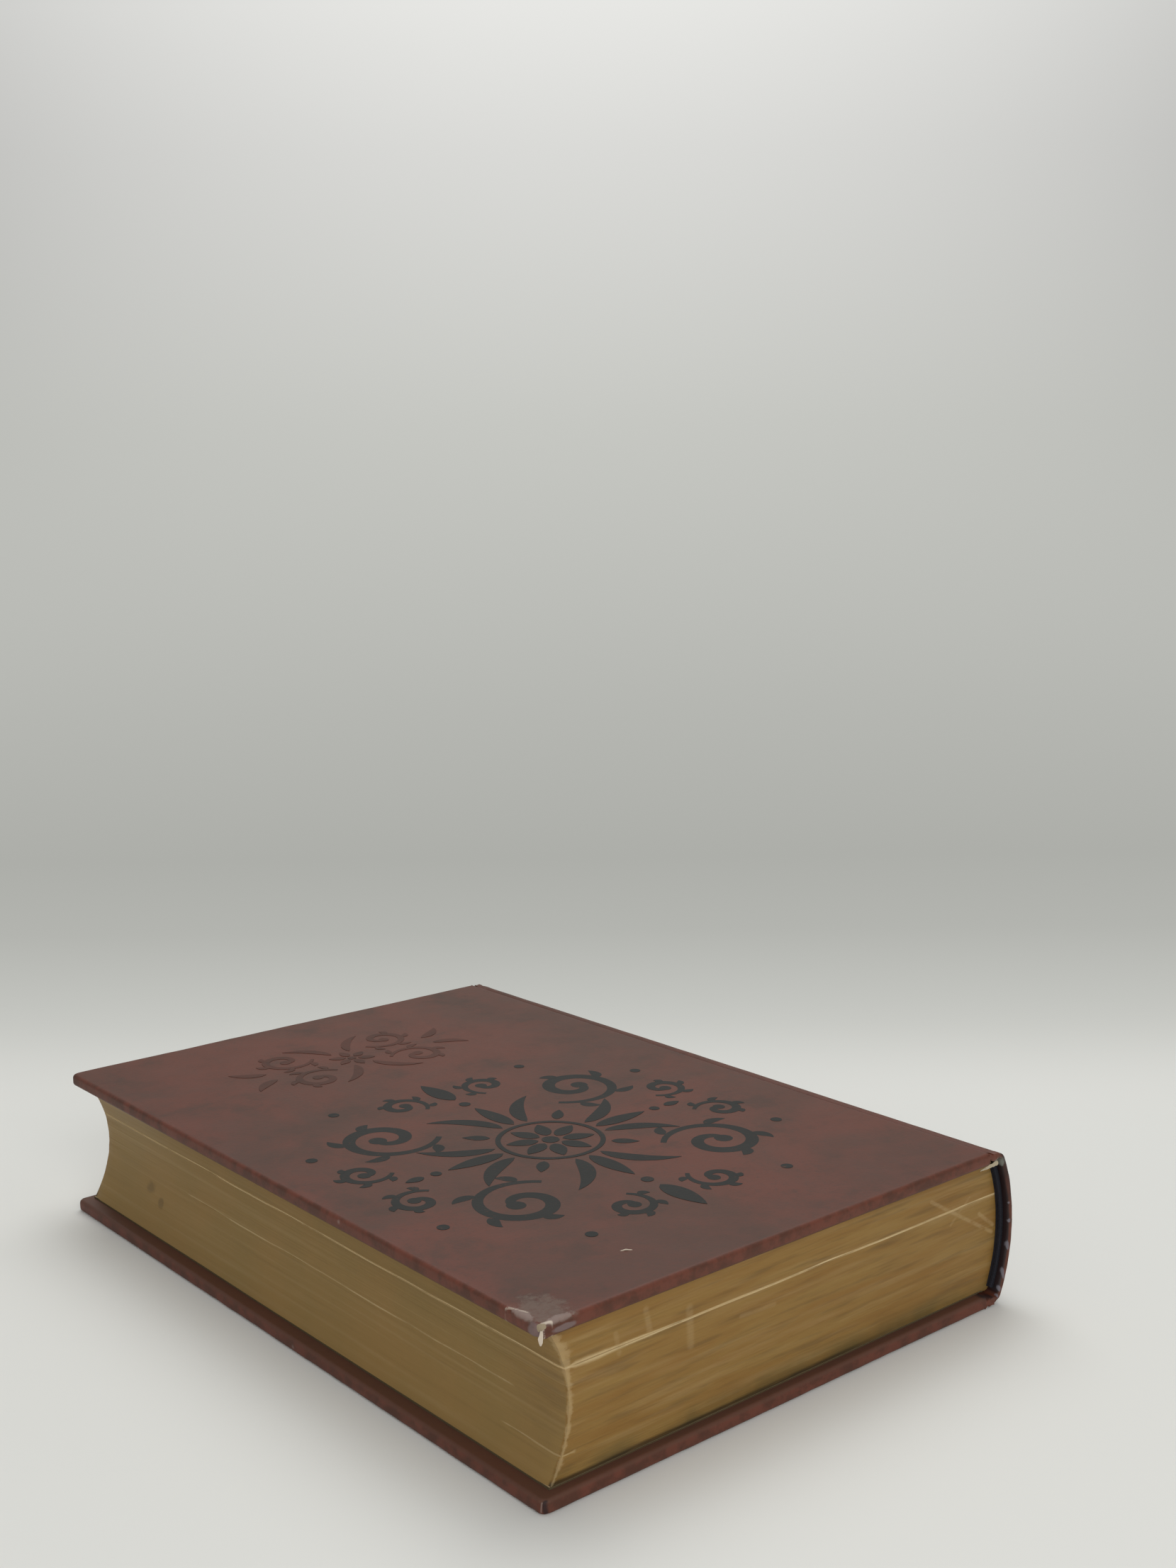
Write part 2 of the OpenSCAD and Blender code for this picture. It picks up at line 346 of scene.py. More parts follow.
    @property
    def back_a(self) -> float:
        """Half the angle of the back of the pages, in degrees."""
        half = self.page_half + self.backing
        return math.degrees(math.asin((half - self.back_r) / (self.back_rad - self.back_r)))

    @property
    def fore_r(self) -> float:
        """Radius of the hollow fore edge."""
        return (self.page_half ** 2 + self.fore_hollow ** 2) / (2 * self.fore_hollow)

    def page_fore(self, z: float) -> float:
        """Fore edge of the leaf at a level."""
        centre = self.page_fore_x + self.fore_hollow - self.fore_r
        off = min(self.page_half, abs(z - self.mid_z))
        return centre + math.sqrt(self.fore_r ** 2 - off ** 2)

    def page_back(self, z: float) -> float:
        """Back of the leaf at a level, on the rounded back or on its rounded corner."""
        off = abs(z - self.mid_z)
        c, k = direction(self.back_a)
        if off <= self.back_rad * k:
            return self.spine_x + math.sqrt(self.back_rad ** 2 - off ** 2)
        corner_x = self.spine_x + (self.back_rad - self.back_r) * c
        over = min(self.back_r, off - (self.page_half + self.backing - self.back_r))
        return corner_x + math.sqrt(self.back_r ** 2 - over ** 2)

    def swell(self, x: float, y: float) -> float:
        """How far the gathered leather fills the joint's groove near the head and the tail."""
        near_end = fade(self.half_h - abs(y), 1.2, 5.0)
        return self.swell_h * near_end * fade(abs(x - self.groove_c[0]), 0.8, 2.6)

    def along(self, end: float, step: float) -> list[float]:
        """Places from the tail to the head, closer together near both ends."""
        return graded(-end, end, self.end_run, self.end_step, step)

    def joint_stations(self) -> list[Station]:
        """Outer surface of a cover's half of the joint, from the board to the hinge gap."""
        t = self.leather_t
        edge = Arc(*self.edge_c, self.edge_r, self.lap_a, self.edge_a)
        groove = Arc(*self.groove_c, self.groove_r, 180 + self.edge_a, 90 + self.half_gap_a, hollow=True)
        return edge.stations(4, t) + groove.stations(10, t)[1:]

    def spine_stations(self) -> list[Station]:
        """Outer surface of the spine, from the back hinge gap over the crown to the front one."""
        t = self.leather_t
        groove = Arc(*self.groove_c, self.groove_r, 90 - self.half_gap_a, 180 + self.shoulder_a, hollow=True)
        shoulder = Arc(*self.shoulder_c, self.shoulder_r, self.shoulder_a, -self.spine_a)
        crown = Arc(self.spine_x, self.mid_z, self.spine_r, -self.spine_a, self.spine_a)
        low = groove.stations(5, t) + shoulder.stations(14, t, self.crown_fold)[1:]
        high = [Station(s.x, self.book_t - s.z, s.nx, -s.nz, s.fold) for s in reversed(low)]
        return low + crown.stations(34, self.crown_fold)[1:-1] + high


def shade(mesh: bmesh.types.BMesh, sharp_deg: float) -> None:
    """Turns the normals outwards and shades the mesh smooth, but for edges sharper than an angle."""
    bmesh.ops.recalc_face_normals(mesh, faces=mesh.faces)
    limit = math.radians(sharp_deg)
    for face in mesh.faces:
        face.smooth = True
    for edge in mesh.edges:
        edge.smooth = len(edge.link_faces) == 2 and edge.calc_face_angle(0) < limit


class MeshDraft:
    """Points in millimetres and faces, made into one closed mesh at the end."""

    def __init__(self) -> None:
        """Starts with nothing."""
        self.points: list[Vector] = []
        self.faces: list[tuple[int, ...]] = []

    def row(self, points: Sequence[Vector]) -> list[int]:
        """Adds points and returns their numbers."""
        first = len(self.points)
        self.points.extend(points)
        return list(range(first, len(self.points)))

    def bridge(self, a: Sequence[int], b: Sequence[int], closed: bool = False) -> None:
        """Joins two rows of as many points with four-sided faces."""
        pairs = list(zip(a, b))
        if closed:
            pairs.append(pairs[0])
        for (a0, b0), (a1, b1) in zip(pairs, pairs[1:]):
            self.faces.append((a0, a1, b1, b0))

    def loft(self, rows: Sequence[Sequence[Vector]], closed: bool = False) -> list[list[int]]:
        """Bridges each row of points to the next and returns the rows' numbers."""
        numbers = [self.row(points) for points in rows]
        for a, b in zip(numbers, numbers[1:]):
            self.bridge(a, b, closed)
        return numbers

    def tube(self, rings: Sequence[Sequence[Vector]]) -> None:
        """Bridges rings of points into a closed body with two flat ends."""
        numbers = self.loft(rings, closed=True)
        self.faces.append(tuple(reversed(numbers[0])))
        self.faces.append(tuple(numbers[-1]))

    def plate(self, top: Sequence[Sequence[Vector]], under: Sequence[Sequence[Vector]]) -> None:
        """Closes two like sheets of points into a thin body, with a wall round all four sides."""
        upper, lower = self.loft(top), self.loft(under)
        self.bridge(upper[0], lower[0])
        self.bridge(upper[-1], lower[-1])
        self.bridge([r[0] for r in upper], [r[0] for r in lower])
        self.bridge([r[-1] for r in upper], [r[-1] for r in lower])

    def make(self, name: str, material: bpy.types.Material,
             sharp_deg: float = SHARP_DEG) -> bpy.types.Object:
        """Makes the object.

        Args:
            name: Name of the piece.
            material: Its finish.
            sharp_deg: Angle between faces from which their edge isn't shaded smooth.

        Returns:
            An object at the origin with its normals outwards. Doubled points are merged, and the small holes
            that this leaves are filled.
        """
        mesh = bmesh.new()
        verts = [mesh.verts.new(p * MM) for p in self.points]
        for face in self.faces:
            if len(set(face)) > 2:
                mesh.faces.new([verts[i] for i in face])
        bmesh.ops.remove_doubles(mesh, verts=mesh.verts, dist=DOUBLED_M)
        bmesh.ops.dissolve_degenerate(mesh, edges=mesh.edges, dist=COLLAPSED_M)
        bmesh.ops.holes_fill(mesh, edges=mesh.edges, sides=HOLE_SIDES)
        shade(mesh, sharp_deg)
        data = bpy.data.meshes.new(name)
        mesh.to_mesh(data)
        mesh.free()
        data.materials.append(material)
        return linked_object(name, data)


class Signal:
    """A value in a shader tree. Python's operators on it add the tree's Math nodes."""

    def __init__(self, recipe: "Recipe", socket: bpy.types.NodeSocket) -> None:
        """Wraps an output socket of a recipe's tree."""
        self.recipe = recipe
        self.socket = socket

    def math(self, operation: str, *others: "Signal | float") -> "Signal":
        """Adds a Math node on this value and others."""
        return self.recipe.node("ShaderNodeMath", {"operation": operation}, dict(enumerate([self, *others])))

    def behind(self, operation: str, number: float) -> "Signal":
        """Adds a Math node on a number and this value, in that order."""
        return self.recipe.node("ShaderNodeMath", {"operation": operation}, {0: number, 1: self})

    def __add__(self, other: "Signal | float") -> "Signal":
        """Sum."""
        return self.math("ADD", other)

    def __sub__(self, other: "Signal | float") -> "Signal":
        """Difference."""
        return self.math("SUBTRACT", other)

    def __rsub__(self, other: float) -> "Signal":
        """Difference with a number in front."""
        return self.behind("SUBTRACT", other)

    def __mul__(self, other: "Signal | float") -> "Signal":
        """Product."""
        return self.math("MULTIPLY", other)

    def __truediv__(self, other: "Signal | float") -> "Signal":
        """Quotient."""
        return self.math("DIVIDE", other)

    def __rtruediv__(self, other: float) -> "Signal":
        """Quotient with a number in front."""
        return self.behind("DIVIDE", other)

    __radd__ = __add__
    __rmul__ = __mul__

    def __abs__(self) -> "Signal":
        """Size without its sign."""
        return self.math("ABSOLUTE")

    def min(self, other: "Signal | float") -> "Signal":
        """The lower of two values."""
        return self.math("MINIMUM", other)

    def max(self, other: "Signal | float") -> "Signal":
        """The higher of two values."""
        return self.math("MAXIMUM", other)

    def sqrt(self) -> "Signal":
        """Square root."""
        return self.math("SQRT")

    def step(self, low: float, high: float) -> "Signal":
        """0 up to low, 1 from high, and smooth between them. It falls where low is the higher one."""
        return self.recipe.node("ShaderNodeMapRange", {"interpolation_type": "SMOOTHSTEP"},
                                {0: self, 1: low, 2: high, 3: 0.0, 4: 1.0})


@dataclass(frozen=True)
class Patch:
    """A rounded place on the book: its middle, how far it reaches, and weights that flatten it."""

    x: float
    y: float
    z: float
    far: float
    flat: Triple = (1.0, 1.0, 1.0)


class Recipe:
    """Builds the node tree of one finish. Its places are Object coordinates in millimetres."""

    def __init__(self, name: str, world: bpy.types.World | None = None) -> None:
        """Starts an empty tree, of a new material or of the world."""
        self.owner = world or bpy.data.materials.new(name)
        self.owner.use_nodes = True
        self.tree = self.owner.node_tree
        self.tree.nodes.clear()
        coordinates = self.node("ShaderNodeTexCoord", output="Object")
        self.place = self.vector("MULTIPLY", coordinates, (1 / MM, 1 / MM, 1 / MM))
        self.x, self.y, self.z = (self.node("ShaderNodeSeparateXYZ", {}, {0: self.place}, axis)
                                  for axis in "XYZ")

    def add(self, kind: str, settings: dict, inputs: dict) -> bpy.types.Node:
        """Adds a node.

        Args:
            kind: Type of the node.
            settings: Attributes to set before its sockets; stops are those of a colour ramp.
            inputs: Values or signals by the name or number of their socket.

        Returns:
            The node.
        """
        made = self.tree.nodes.new(kind)
        for key, value in settings.items():
            if key == "stops":
                ramp = made.color_ramp.elements
                while len(ramp) < len(value):
                    ramp.new(1.0)
                for element, (position, colour) in zip(ramp, value):
                    element.position, element.color = position, colour
            else:
                setattr(made, key, value)
        for key, value in inputs.items():
            if isinstance(value, Signal):
                self.tree.links.new(value.socket, made.inputs[key])
            else:
                made.inputs[key].default_value = value
        return made

    def node(self, kind: str, settings: dict | None = None, inputs: dict | None = None,
             output: int | str = 0) -> Signal:
        """Adds a node and gives one of its outputs, by name or number."""
        return Signal(self, self.add(kind, settings or {}, inputs or {}).outputs[output])

    def vector(self, operation: str, value: Signal, other: Triple) -> Signal:
        """Adds a Vector Math node on a signal and a fixed vector."""
        return self.node("ShaderNodeVectorMath", {"operation": operation}, {0: value, 1: other})

    def stretched(self, x: float, y: float, z: float, shift: float = 0.0) -> Signal:
        """The place with its axes scaled and shifted, to stretch a pattern along the shorter-scaled ones."""
        return self.vector("ADD", self.vector("MULTIPLY", self.place, (x, y, z)), (shift, shift, shift))

    def noise(self, size: float, detail: float = 3.0, roughness: float = 0.5, where: Signal | None = None,
              distortion: float = 0.0, shift: float = 0.0) -> Signal:
        """Noise from 0 to 1 whose patches are about a size across."""
        if where is None:
            where = self.stretched(1.0, 1.0, 1.0, shift) if shift else self.place
        return self.node("ShaderNodeTexNoise", {}, {"Vector": where, "Scale": 1 / size, "Detail": detail,
                                                    "Roughness": roughness, "Distortion": distortion})

    def cells(self, size: float) -> Signal:
        """Distance within soft cells that are about a size across."""
        return self.node("ShaderNodeTexVoronoi", {"feature": "SMOOTH_F1"},
                         {"Vector": self.place, "Scale": 1 / size}, "Distance")

    def mix(self, share: Signal | float, a: Signal | Colour, b: Signal | Colour) -> Signal:
        """Colour from a, where the share is 0, to b, where it is 1."""
        return self.node("ShaderNodeMix", {"data_type": "RGBA"}, {0: share, 6: a, 7: b}, 2)

    def near(self, patch: Patch, *others: Patch) -> Signal:
        """1 in the middle of a patch and 0 from its reach on, or the highest of several patches."""
        away = self.vector("SUBTRACT", self.place, (patch.x, patch.y, patch.z))
        scaled = self.vector("MULTIPLY", away, patch.flat)
        distance = self.node("ShaderNodeVectorMath", {"operation": "LENGTH"}, {0: scaled}, "Value")
        close = distance.step(patch.far, 0.0)
        return close.max(self.near(*others)) if others else close

    def scratch(self, u: Signal, v: Signal, start: Pair, end: Pair, width: float) -> Signal:
        """1 on a line between two points of a plane, falling to 0 at half a width from it."""
        (u0, v0), (u1, v1) = start, end
        du, dv = u1 - u0, v1 - v0
        squared = du * du + dv * dv
        along = ((u - u0) * (du / squared) + (v - v0) * (dv / squared)).max(0.0).min(1.0)
        off_u, off_v = u - u0 - along * du, v - v0 - along * dv
        return (off_u * off_u + off_v * off_v).sqrt().step(width / 2, width / 8)

    def bump(self, height: Signal, depth: float) -> Signal:
        """Normal of a surface with a relief of a given depth."""
        return self.node("ShaderNodeBump", {}, {"Height": height, "Distance": depth * MM, "Strength": 1.0})

    def finish(self, **sockets: "Signal | float | Colour") -> bpy.types.Material:
        """Adds the surface shader with values by the names of its sockets, spaces written as underscores.

        Returns:
            The finished material.
        """
        inputs = {name.replace("_", " "): value for name, value in sockets.items()}
        self.close(self.node("ShaderNodeBsdfPrincipled", {}, inputs))
        return self.owner

    def close(self, surface: Signal, kind: str = "ShaderNodeOutputMaterial") -> None:
        """Joins a shader to the tree's output."""
        self.add(kind, {}, {"Surface": surface})


@dataclass(frozen=True)
class LeatherFinish:
    """Smooth red-brown leather, clouded, redder at its edges and rubbed pale where worn; painted shade
    darkens the spine's inside and ends.
    """

    red: Colour = srgb(93, 46, 30)
    brown: Colour = srgb(76, 44, 30)
    dark: Colour = srgb(60, 41, 30)
    edge: Colour = srgb(104, 59, 46)
    inside: Colour = srgb(92, 63, 50)
    rubbed: Colour = srgb(112, 98, 88)
    pale: Colour = srgb(140, 122, 114)
    bare: Colour = srgb(206, 192, 174)
    cold: Colour = srgb(118, 116, 124)
    hazy: Colour = srgb(124, 110, 108)
    mould: Colour = srgb(118, 122, 112)
    # Near black: painted shade inside the spine and on its ends, and also the dark of the tail joint and of
    # the mitre's fold.
    hollow: Colour = srgb(27, 23, 26)
    ink: Colour = srgb(22, 25, 22)
    roughness: float = 0.47
    shine: float = 0.24
    grain: float = 0.9
    grain_depth: float = 0.035
    shaded_z: Pair = (22.0, 38.0)
    worn_print_y: Pair = (44.0, 36.0)

    def make(self, name: str, section: BookSection, inked: float = 0.0) -> bpy.types.Material:
        """Makes the leather, or the printed leather where it is inked.

        Args:
            name: Name of the material.
            section: Sizes of the book, for the wear at its edges.
            inked: Share of the print's colour, 0 for bare leather.

        Returns:
            The material.
        """
        r = Recipe(name)
        clouds = r.noise(55, 5.0, 0.62, shift=5.3, distortion=0.8)
        patches = r.noise(17, 5.0, 0.66, shift=1.7)
        blotches = r.noise(5.5, 4.0, 0.65, shift=8.2)
        flecks = r.noise(1.3, 4.0, 0.7)
        colour = r.mix(clouds.step(0.35, 0.64), self.brown, self.red)
        colour = r.mix(patches.step(0.50, 0.72) * 0.6, colour, self.dark)
        colour = r.mix(blotches.step(0.48, 0.68) * 0.28, colour, self.red)
        colour = r.mix(flecks.step(0.50, 0.72) * 0.42, colour, self.dark)

        rim = (r.x - section.fore_x).min(section.half_h - abs(r.y))
        side = rim.step(1.5, 0.5)
        colour = r.mix(side * 0.8, colour, self.edge)
        colour = r.mix(side * blotches.step(0.38, 0.62) * 0.6, colour, self.dark)
        from_face = r.z.min(section.book_t - r.z)
        board_side = r.x.step(section.joint_x + 2.2, section.joint_x + 1.4)
        inner_face = from_face.step(section.covered_t - 1.1, section.covered_t - 0.3) * board_side
        colour = r.mix(inner_face * 0.8, colour, self.inside)
        # Painted shade: the inside of the spine leather, and the upper half of the spine's head and tail
        # faces, darken towards near black.
        off_x, off_z = r.x - section.spine_x, r.z - section.mid_z
        radial = (off_x * off_x + off_z * off_z).sqrt()
        spine_side = r.x.step(section.joint_x + 4.25, section.joint_x + 5.25)
        spine_inside_shade = radial.step(section.spine_r - 1.5, section.spine_r - 2.0) * spine_side
        shaded = side * spine_side * r.z.step(*self.shaded_z) * 0.6
        colour = r.mix((spine_inside_shade * 0.9).max(shaded), colour, self.hollow)

        worn = 0.0
        for mask, tone in self.wear_marks(r, section):
            colour = r.mix(mask, colour, tone)
            worn = mask.max(worn)

        grain = r.cells(self.grain)
        rough = worn * 0.2 + self.roughness + patches * 0.1
        if inked:
            chipped = r.noise(0.8, 2.0).step(0.70, 0.78)
            kept = r.noise(3.2, 5.0, 0.75, shift=7.7).step(0.26, 0.38) * (1 - chipped)
            shown = kept * (r.y.step(*self.worn_print_y) * 0.66 + 0.32)
            colour = r.mix(shown, colour, self.ink)
        relief = grain * 0.5 + flecks * 0.3 + worn * r.noise(0.7, 4.0, 0.7) * 1.6
        return r.finish(Base_Color=colour, Roughness=rough, Normal=r.bump(relief, self.grain_depth),
                        Specular_IOR_Level=self.shine * (1 - 0.4 * inked))

    def wear_marks(self, r: Recipe, section: BookSection) -> list[tuple[Signal, Colour]]:
        """Places where the leather is scuffed, creased or torn, later ones over earlier ones.

        Args:
            r: Recipe that the masks are made in.
            section: Sizes of the book.

        Returns:
            Masks, 1 on a mark, each with the colour that shows there.
        """
        broken = r.noise(1.5, 3.0, 0.7)
        return (self.corner_marks(r, section, broken) + self.mitre_marks(r, section)
                + self.spine_marks(r, section, broken) + self.nick_marks(r, section))

    def corner_marks(self, r: Recipe, section: BookSection, broken: Signal) -> list[tuple[Signal, Colour]]:
        """Rubbed and smeared corner of the front cover at the tail, with its bare scratches.

        Args:
            r: Recipe that the masks are made in.
            section: Sizes of the book.
            broken: Fine noise that breaks the marks up.

        Returns:
            Masks with their colours.
        """
        top = section.book_t
        on_top = r.z.step(top - 1.3, top - 0.4)
        rubbed = r.near(Patch(-80.2, -114.0, top, 11.5, (1.0, 0.72, 1.0)))
        rubbed = (rubbed + r.noise(3.6, 5.0, 0.75, shift=3.1) * 2.0).step(1.38, 1.72) * on_top
        lobes = r.near(Patch(-84.8, -112.4, top, 5.6, (2.1, 0.8, 2.0)),
                       Patch(-79.6, -119.2, top, 5.6, (0.8, 2.2, 2.0)))
        lobes = (lobes + broken * 0.9).step(0.84, 1.12) * on_top
        smear = r.near(Patch(-78.8, -120.0, top - 2.4, 6.4, (1.0, 1.0, 4.2)),
                       Patch(-85.6, -117.4, top - 2.2, 3.6))
        smear = (smear + broken * 0.4).step(0.50, 0.85)
        bare = r.scratch(r.x, r.y, (-45.6, -101.4), (-43.4, -102.6), 0.8) * 0.5
        patchy = broken.step(0.36, 0.52)
        for start, end, strength in (((-85.3, -107.2), (-83.6, -112.5), 0.42),
                                     ((-84.4, -118.6), (-82.2, -119.4), 0.7),
                                     ((-84.4, -118.8), (-84.9, -120.4), 0.7)):
            bare = bare.max(r.scratch(r.x, r.y, start, end, 1.0) * patchy * strength)
        return [(rubbed * (broken.step(0.30, 0.62) * 0.3 + 0.36), self.rubbed), (lobes * 0.62, self.pale),
                (smear * 0.6, self.hazy), (bare * r.z.step(top - 5, top - 4.6), self.bare)]

    def mitre_marks(self, r: Recipe, section: BookSection) -> list[tuple[Signal, Colour]]:
        """Dark fold and pale lip of the mitre at the tail of the back cover's fore edge.

        Args:
            r: Recipe that the masks are made in.
            section: Sizes of the book.

        Returns:
            Masks with their colours.
        """
        tail = -section.half_h
        mitre = r.z.step(4.2, 3.4) * r.x.step(section.fore_x + 2.2, section.fore_x + 1.4)
        fold = r.scratch(r.y, r.z, (tail + 0.5, 0.6), (tail + 0.7, 3.3), 1.1)
        lip = r.scratch(r.y, r.z, (tail + 1.2, 0.9), (tail + 1.1, 3.1), 0.45)
        return [(fold * mitre * 0.75, self.hollow), (lip * mitre * 0.5, self.pale)]

    def spine_marks(self, r: Recipe, section: BookSection, broken: Signal) -> list[tuple[Signal, Colour]]:
        """Dark joint, mould and cold specks round the tail end of the spine.

        Args:
            r: Recipe that the masks are made in.
            section: Sizes of the book.
            broken: Fine noise that breaks the marks up.

        Returns:
            Masks with their colours.
        """
        tail = -section.half_h
        joint = r.near(Patch(76.4, tail + 1.6, 4.5, 5.2, (0.75, 0.9, 1.5))).step(0.2, 0.6)
        mould = r.near(Patch(78.2, tail, 42.0, 3.9, (0.8, 0.5, 1.25))) + broken * 0.7
        mould = mould.step(0.66, 0.96) * r.y.step(tail + 2.2, tail + 1.4)
        places = []
        for z, size, flat in ((29.1, 0.7, 1.2), (23.7, 0.95, 1.0), (16.5, 1.1, 0.5), (8.6, 1.05, 0.36),
                              (4.5, 1.1, 0.8), (2.6, 0.8, 0.9)):
            x = section.spine_x + math.sqrt((section.spine_r - 1.75) ** 2 - (z - section.mid_z) ** 2)
            places.append(Patch(x, tail + 0.4, z, size, (1.6, 0.5, flat)))
        specks = (r.near(*places) + broken * 0.7).step(0.50, 0.95) * r.y.step(tail + 1.6, tail + 1.0)
        return [(joint * 0.85, self.hollow), (mould * 0.7, self.mould), (specks * 0.62, self.cold)]

    def nick_marks(self, r: Recipe, section: BookSection) -> list[tuple[Signal, Colour]]:
        """Small pale nicks in the fore edges of the covers."""
        nicks = r.near(Patch(section.fore_x, -38.0, section.book_t - 1.2, 0.9),
                       Patch(section.fore_x, -13.0, 1.6, 0.9))
        return [(nicks * 0.6, self.pale)]


@dataclass(frozen=True)
class GiltFinish:
    """Worn gilding on the page edges: brown gold with streaks along the leaves and pale partings, and a
    painted shadow at the foot of the head and tail.
    """

    gold: Colour = srgb(144, 114, 64)
    honey: Colour = srgb(143, 112, 58)
    amber: Colour = srgb(135, 99, 45)
    olive: Colour = srgb(132, 110, 62)
    soiled: Colour = srgb(84, 64, 36)
    dirt: Colour = srgb(78, 70, 38)
    shadow: Colour = srgb(26, 21, 14)
    paper: Colour = srgb(214, 192, 148)
    metallic: float = 0.25
    roughness: float = 0.5
    dirt_h: float = 6.5
    gap_shadow_x: Pair = (52.0, 4.0)
    rubbed_z: Pair = (26.0, 36.0)

    def make(self, name: str, section: BookSection, partings: Sequence["Parting"]) -> bpy.types.Material:
        """Makes the gilding.

        Args:
            name: Name of the material.
            section: Sizes of the book.
            partings: Openings between leaves, which show bare paper.

        Returns:
            The material.
        """
        r = Recipe(name)
        broad = r.noise(5.0, 4.0, 0.6, where=r.stretched(0.10, 0.07, 1.0, 3.0))
        fine = r.noise(0.9, 3.0, 0.7, where=r.stretched(0.030, 0.016, 1.0, 1.0))
        bare = self.bare_paper(r, section, partings)
        colour = r.mix(bare, self.streaked(r, section, broad, fine), self.paper)
        return r.finish(Base_Color=colour, Metallic=(1 - bare) * self.metallic,
                        Roughness=bare * 0.3 + self.roughness + fine * 0.12,
                        Normal=r.bump(fine + broad * 0.4, 0.06), Specular_IOR_Level=0.4)

    def streaked(self, r: Recipe, section: BookSection, broad: Signal, fine: Signal) -> Signal:
        """Colour of the gold, with its streaks along the leaves, its stains, the dirt low at both ends and a
        painted shadow at their foot.

        Args:
            r: Recipe that the colour is made in.
            section: Sizes of the book.
            broad: Noise in bands along the leaves.
            fine: Noise in thin streaks along the leaves.

        Returns:
            The colour.
        """
        ends = abs(r.y).step(section.page_half_h - 1.2, section.page_half_h - 0.5)
        clouds = r.noise(24, 3.0, 0.5, shift=4.4)
        end_colour = r.mix(broad.step(0.32, 0.68), self.amber, self.honey)
        side_colour = r.mix(clouds.step(0.3, 0.7) * 0.5, self.gold, self.olive)
        colour = r.mix(ends, side_colour, end_colour)
        colour = r.mix(fine.step(0.50, 0.74) * (ends * 0.16 + 0.12), colour, self.soiled)
        dashes = r.noise(2.0, 3.0, 0.5, where=r.stretched(0.085, 0.020, 1.0, 12.0)).step(0.50, 0.74)
        colour = r.mix(dashes * (ends * 0.28 + 0.08), colour, self.soiled)
        light = r.noise(1.9, 3.0, 0.5, where=r.stretched(0.055, 0.014, 1.0, 8.0)).step(0.48, 0.76)
        colour = r.mix(light * 0.09, colour, self.paper)

        low = r.z.step(section.page_z + self.dirt_h, section.page_z) * ends
        colour = r.mix(low * clouds.step(0.3, 0.6) * 0.7, colour, self.dirt)
        # Painted shadow: a dark band along the foot of the head and tail edges, in the gap over the back
        # cover, fading towards the spine.
        gap_shadow = r.z.step(section.page_z + 1.3, section.page_z + 0.3) * ends * r.x.step(*self.gap_shadow_x)
        colour = r.mix(gap_shadow * fine.step(0.25, 0.5) * 0.75, colour, self.shadow)
        stains = r.near(Patch(-80, 85.5, 15.6, 5.0, (0.5, 0.9, 1.1)),
                        Patch(-80, 78, 12.8, 4.2, (0.5, 1.0, 1.2)))
        stains = (stains + r.noise(3.4, 2.0) * 0.7).step(0.62, 1.0)
        colour = r.mix(stains * 0.42, colour, self.soiled)
        handled = r.near(Patch(-80, -114, 24, 26, (0.3, 1.0, 1.4))) * (1 - ends)
        return r.mix(handled * (broad.step(0.42, 0.62) * 0.34 + 0.08), colour, self.soiled)

    def bare_paper(self, r: Recipe, section: BookSection, partings: Sequence["Parting"]) -> Signal:
        """Mask of the paper that shows at the rubbed fore corners, in the partings and in scratches.

        Args:
            r: Recipe that the mask is made in.
            section: Sizes of the book.
            partings: Openings between leaves.

        Returns:
            The mask, 1 on bare paper.
        """
        off = r.z - section.mid_z
        hollow = section.page_fore(section.mid_z) - section.fore_r
        edge = (section.fore_r ** 2 - off * off).max(0.0).sqrt() + hollow
        corner = (r.x - edge).max(0.0) + (section.page_half_h - abs(r.y)).max(0.0) * 2.2
        ragged = r.noise(2.6, 4.0, 0.65, where=r.stretched(0.45, 0.45, 1.0, 6.0))
        reach = (ragged.step(0.32, 0.75) * 1.8 + 0.9) * (r.z.step(*self.rubbed_z) * 0.9 + 1.0)
        bare = (1 - corner / reach).max(0.0).step(0.0, 0.6) * 0.26
        for parting in partings:
            bare = bare.max(parting.mask(r))
        tail = r.y.step(0.0, -1.0)
        rough = ragged.step(0.3, 0.5)
        for start, end, width, strength in self.scratches():
            bare = bare.max(r.scratch(r.x, r.z, start, end, width) * tail * rough * strength)
        return bare

    def scratches(self) -> list[tuple[Pair, Pair, float, float]]:
        """Scratches and smears on the tail edge, as ends in X and Z, with their widths and strengths."""
        return [((53.0, 36.5), (80.0, 20.5), 1.6, 0.17), ((69.5, 33.5), (61.5, 27.5), 1.2, 0.09),
                ((74.0, 27.5), (80.5, 22.5), 1.7, 0.16), ((-51.5, 38.0), (-50.2, 31.6), 2.6, 0.11),
                ((-37.5, 34.0), (-37.0, 24.5), 3.4, 0.11), ((-20.0, 26.5), (-8.0, 26.0), 1.8, 0.10),
                ((-61.0, 35.0), (-60.0, 30.0), 2.2, 0.09)]


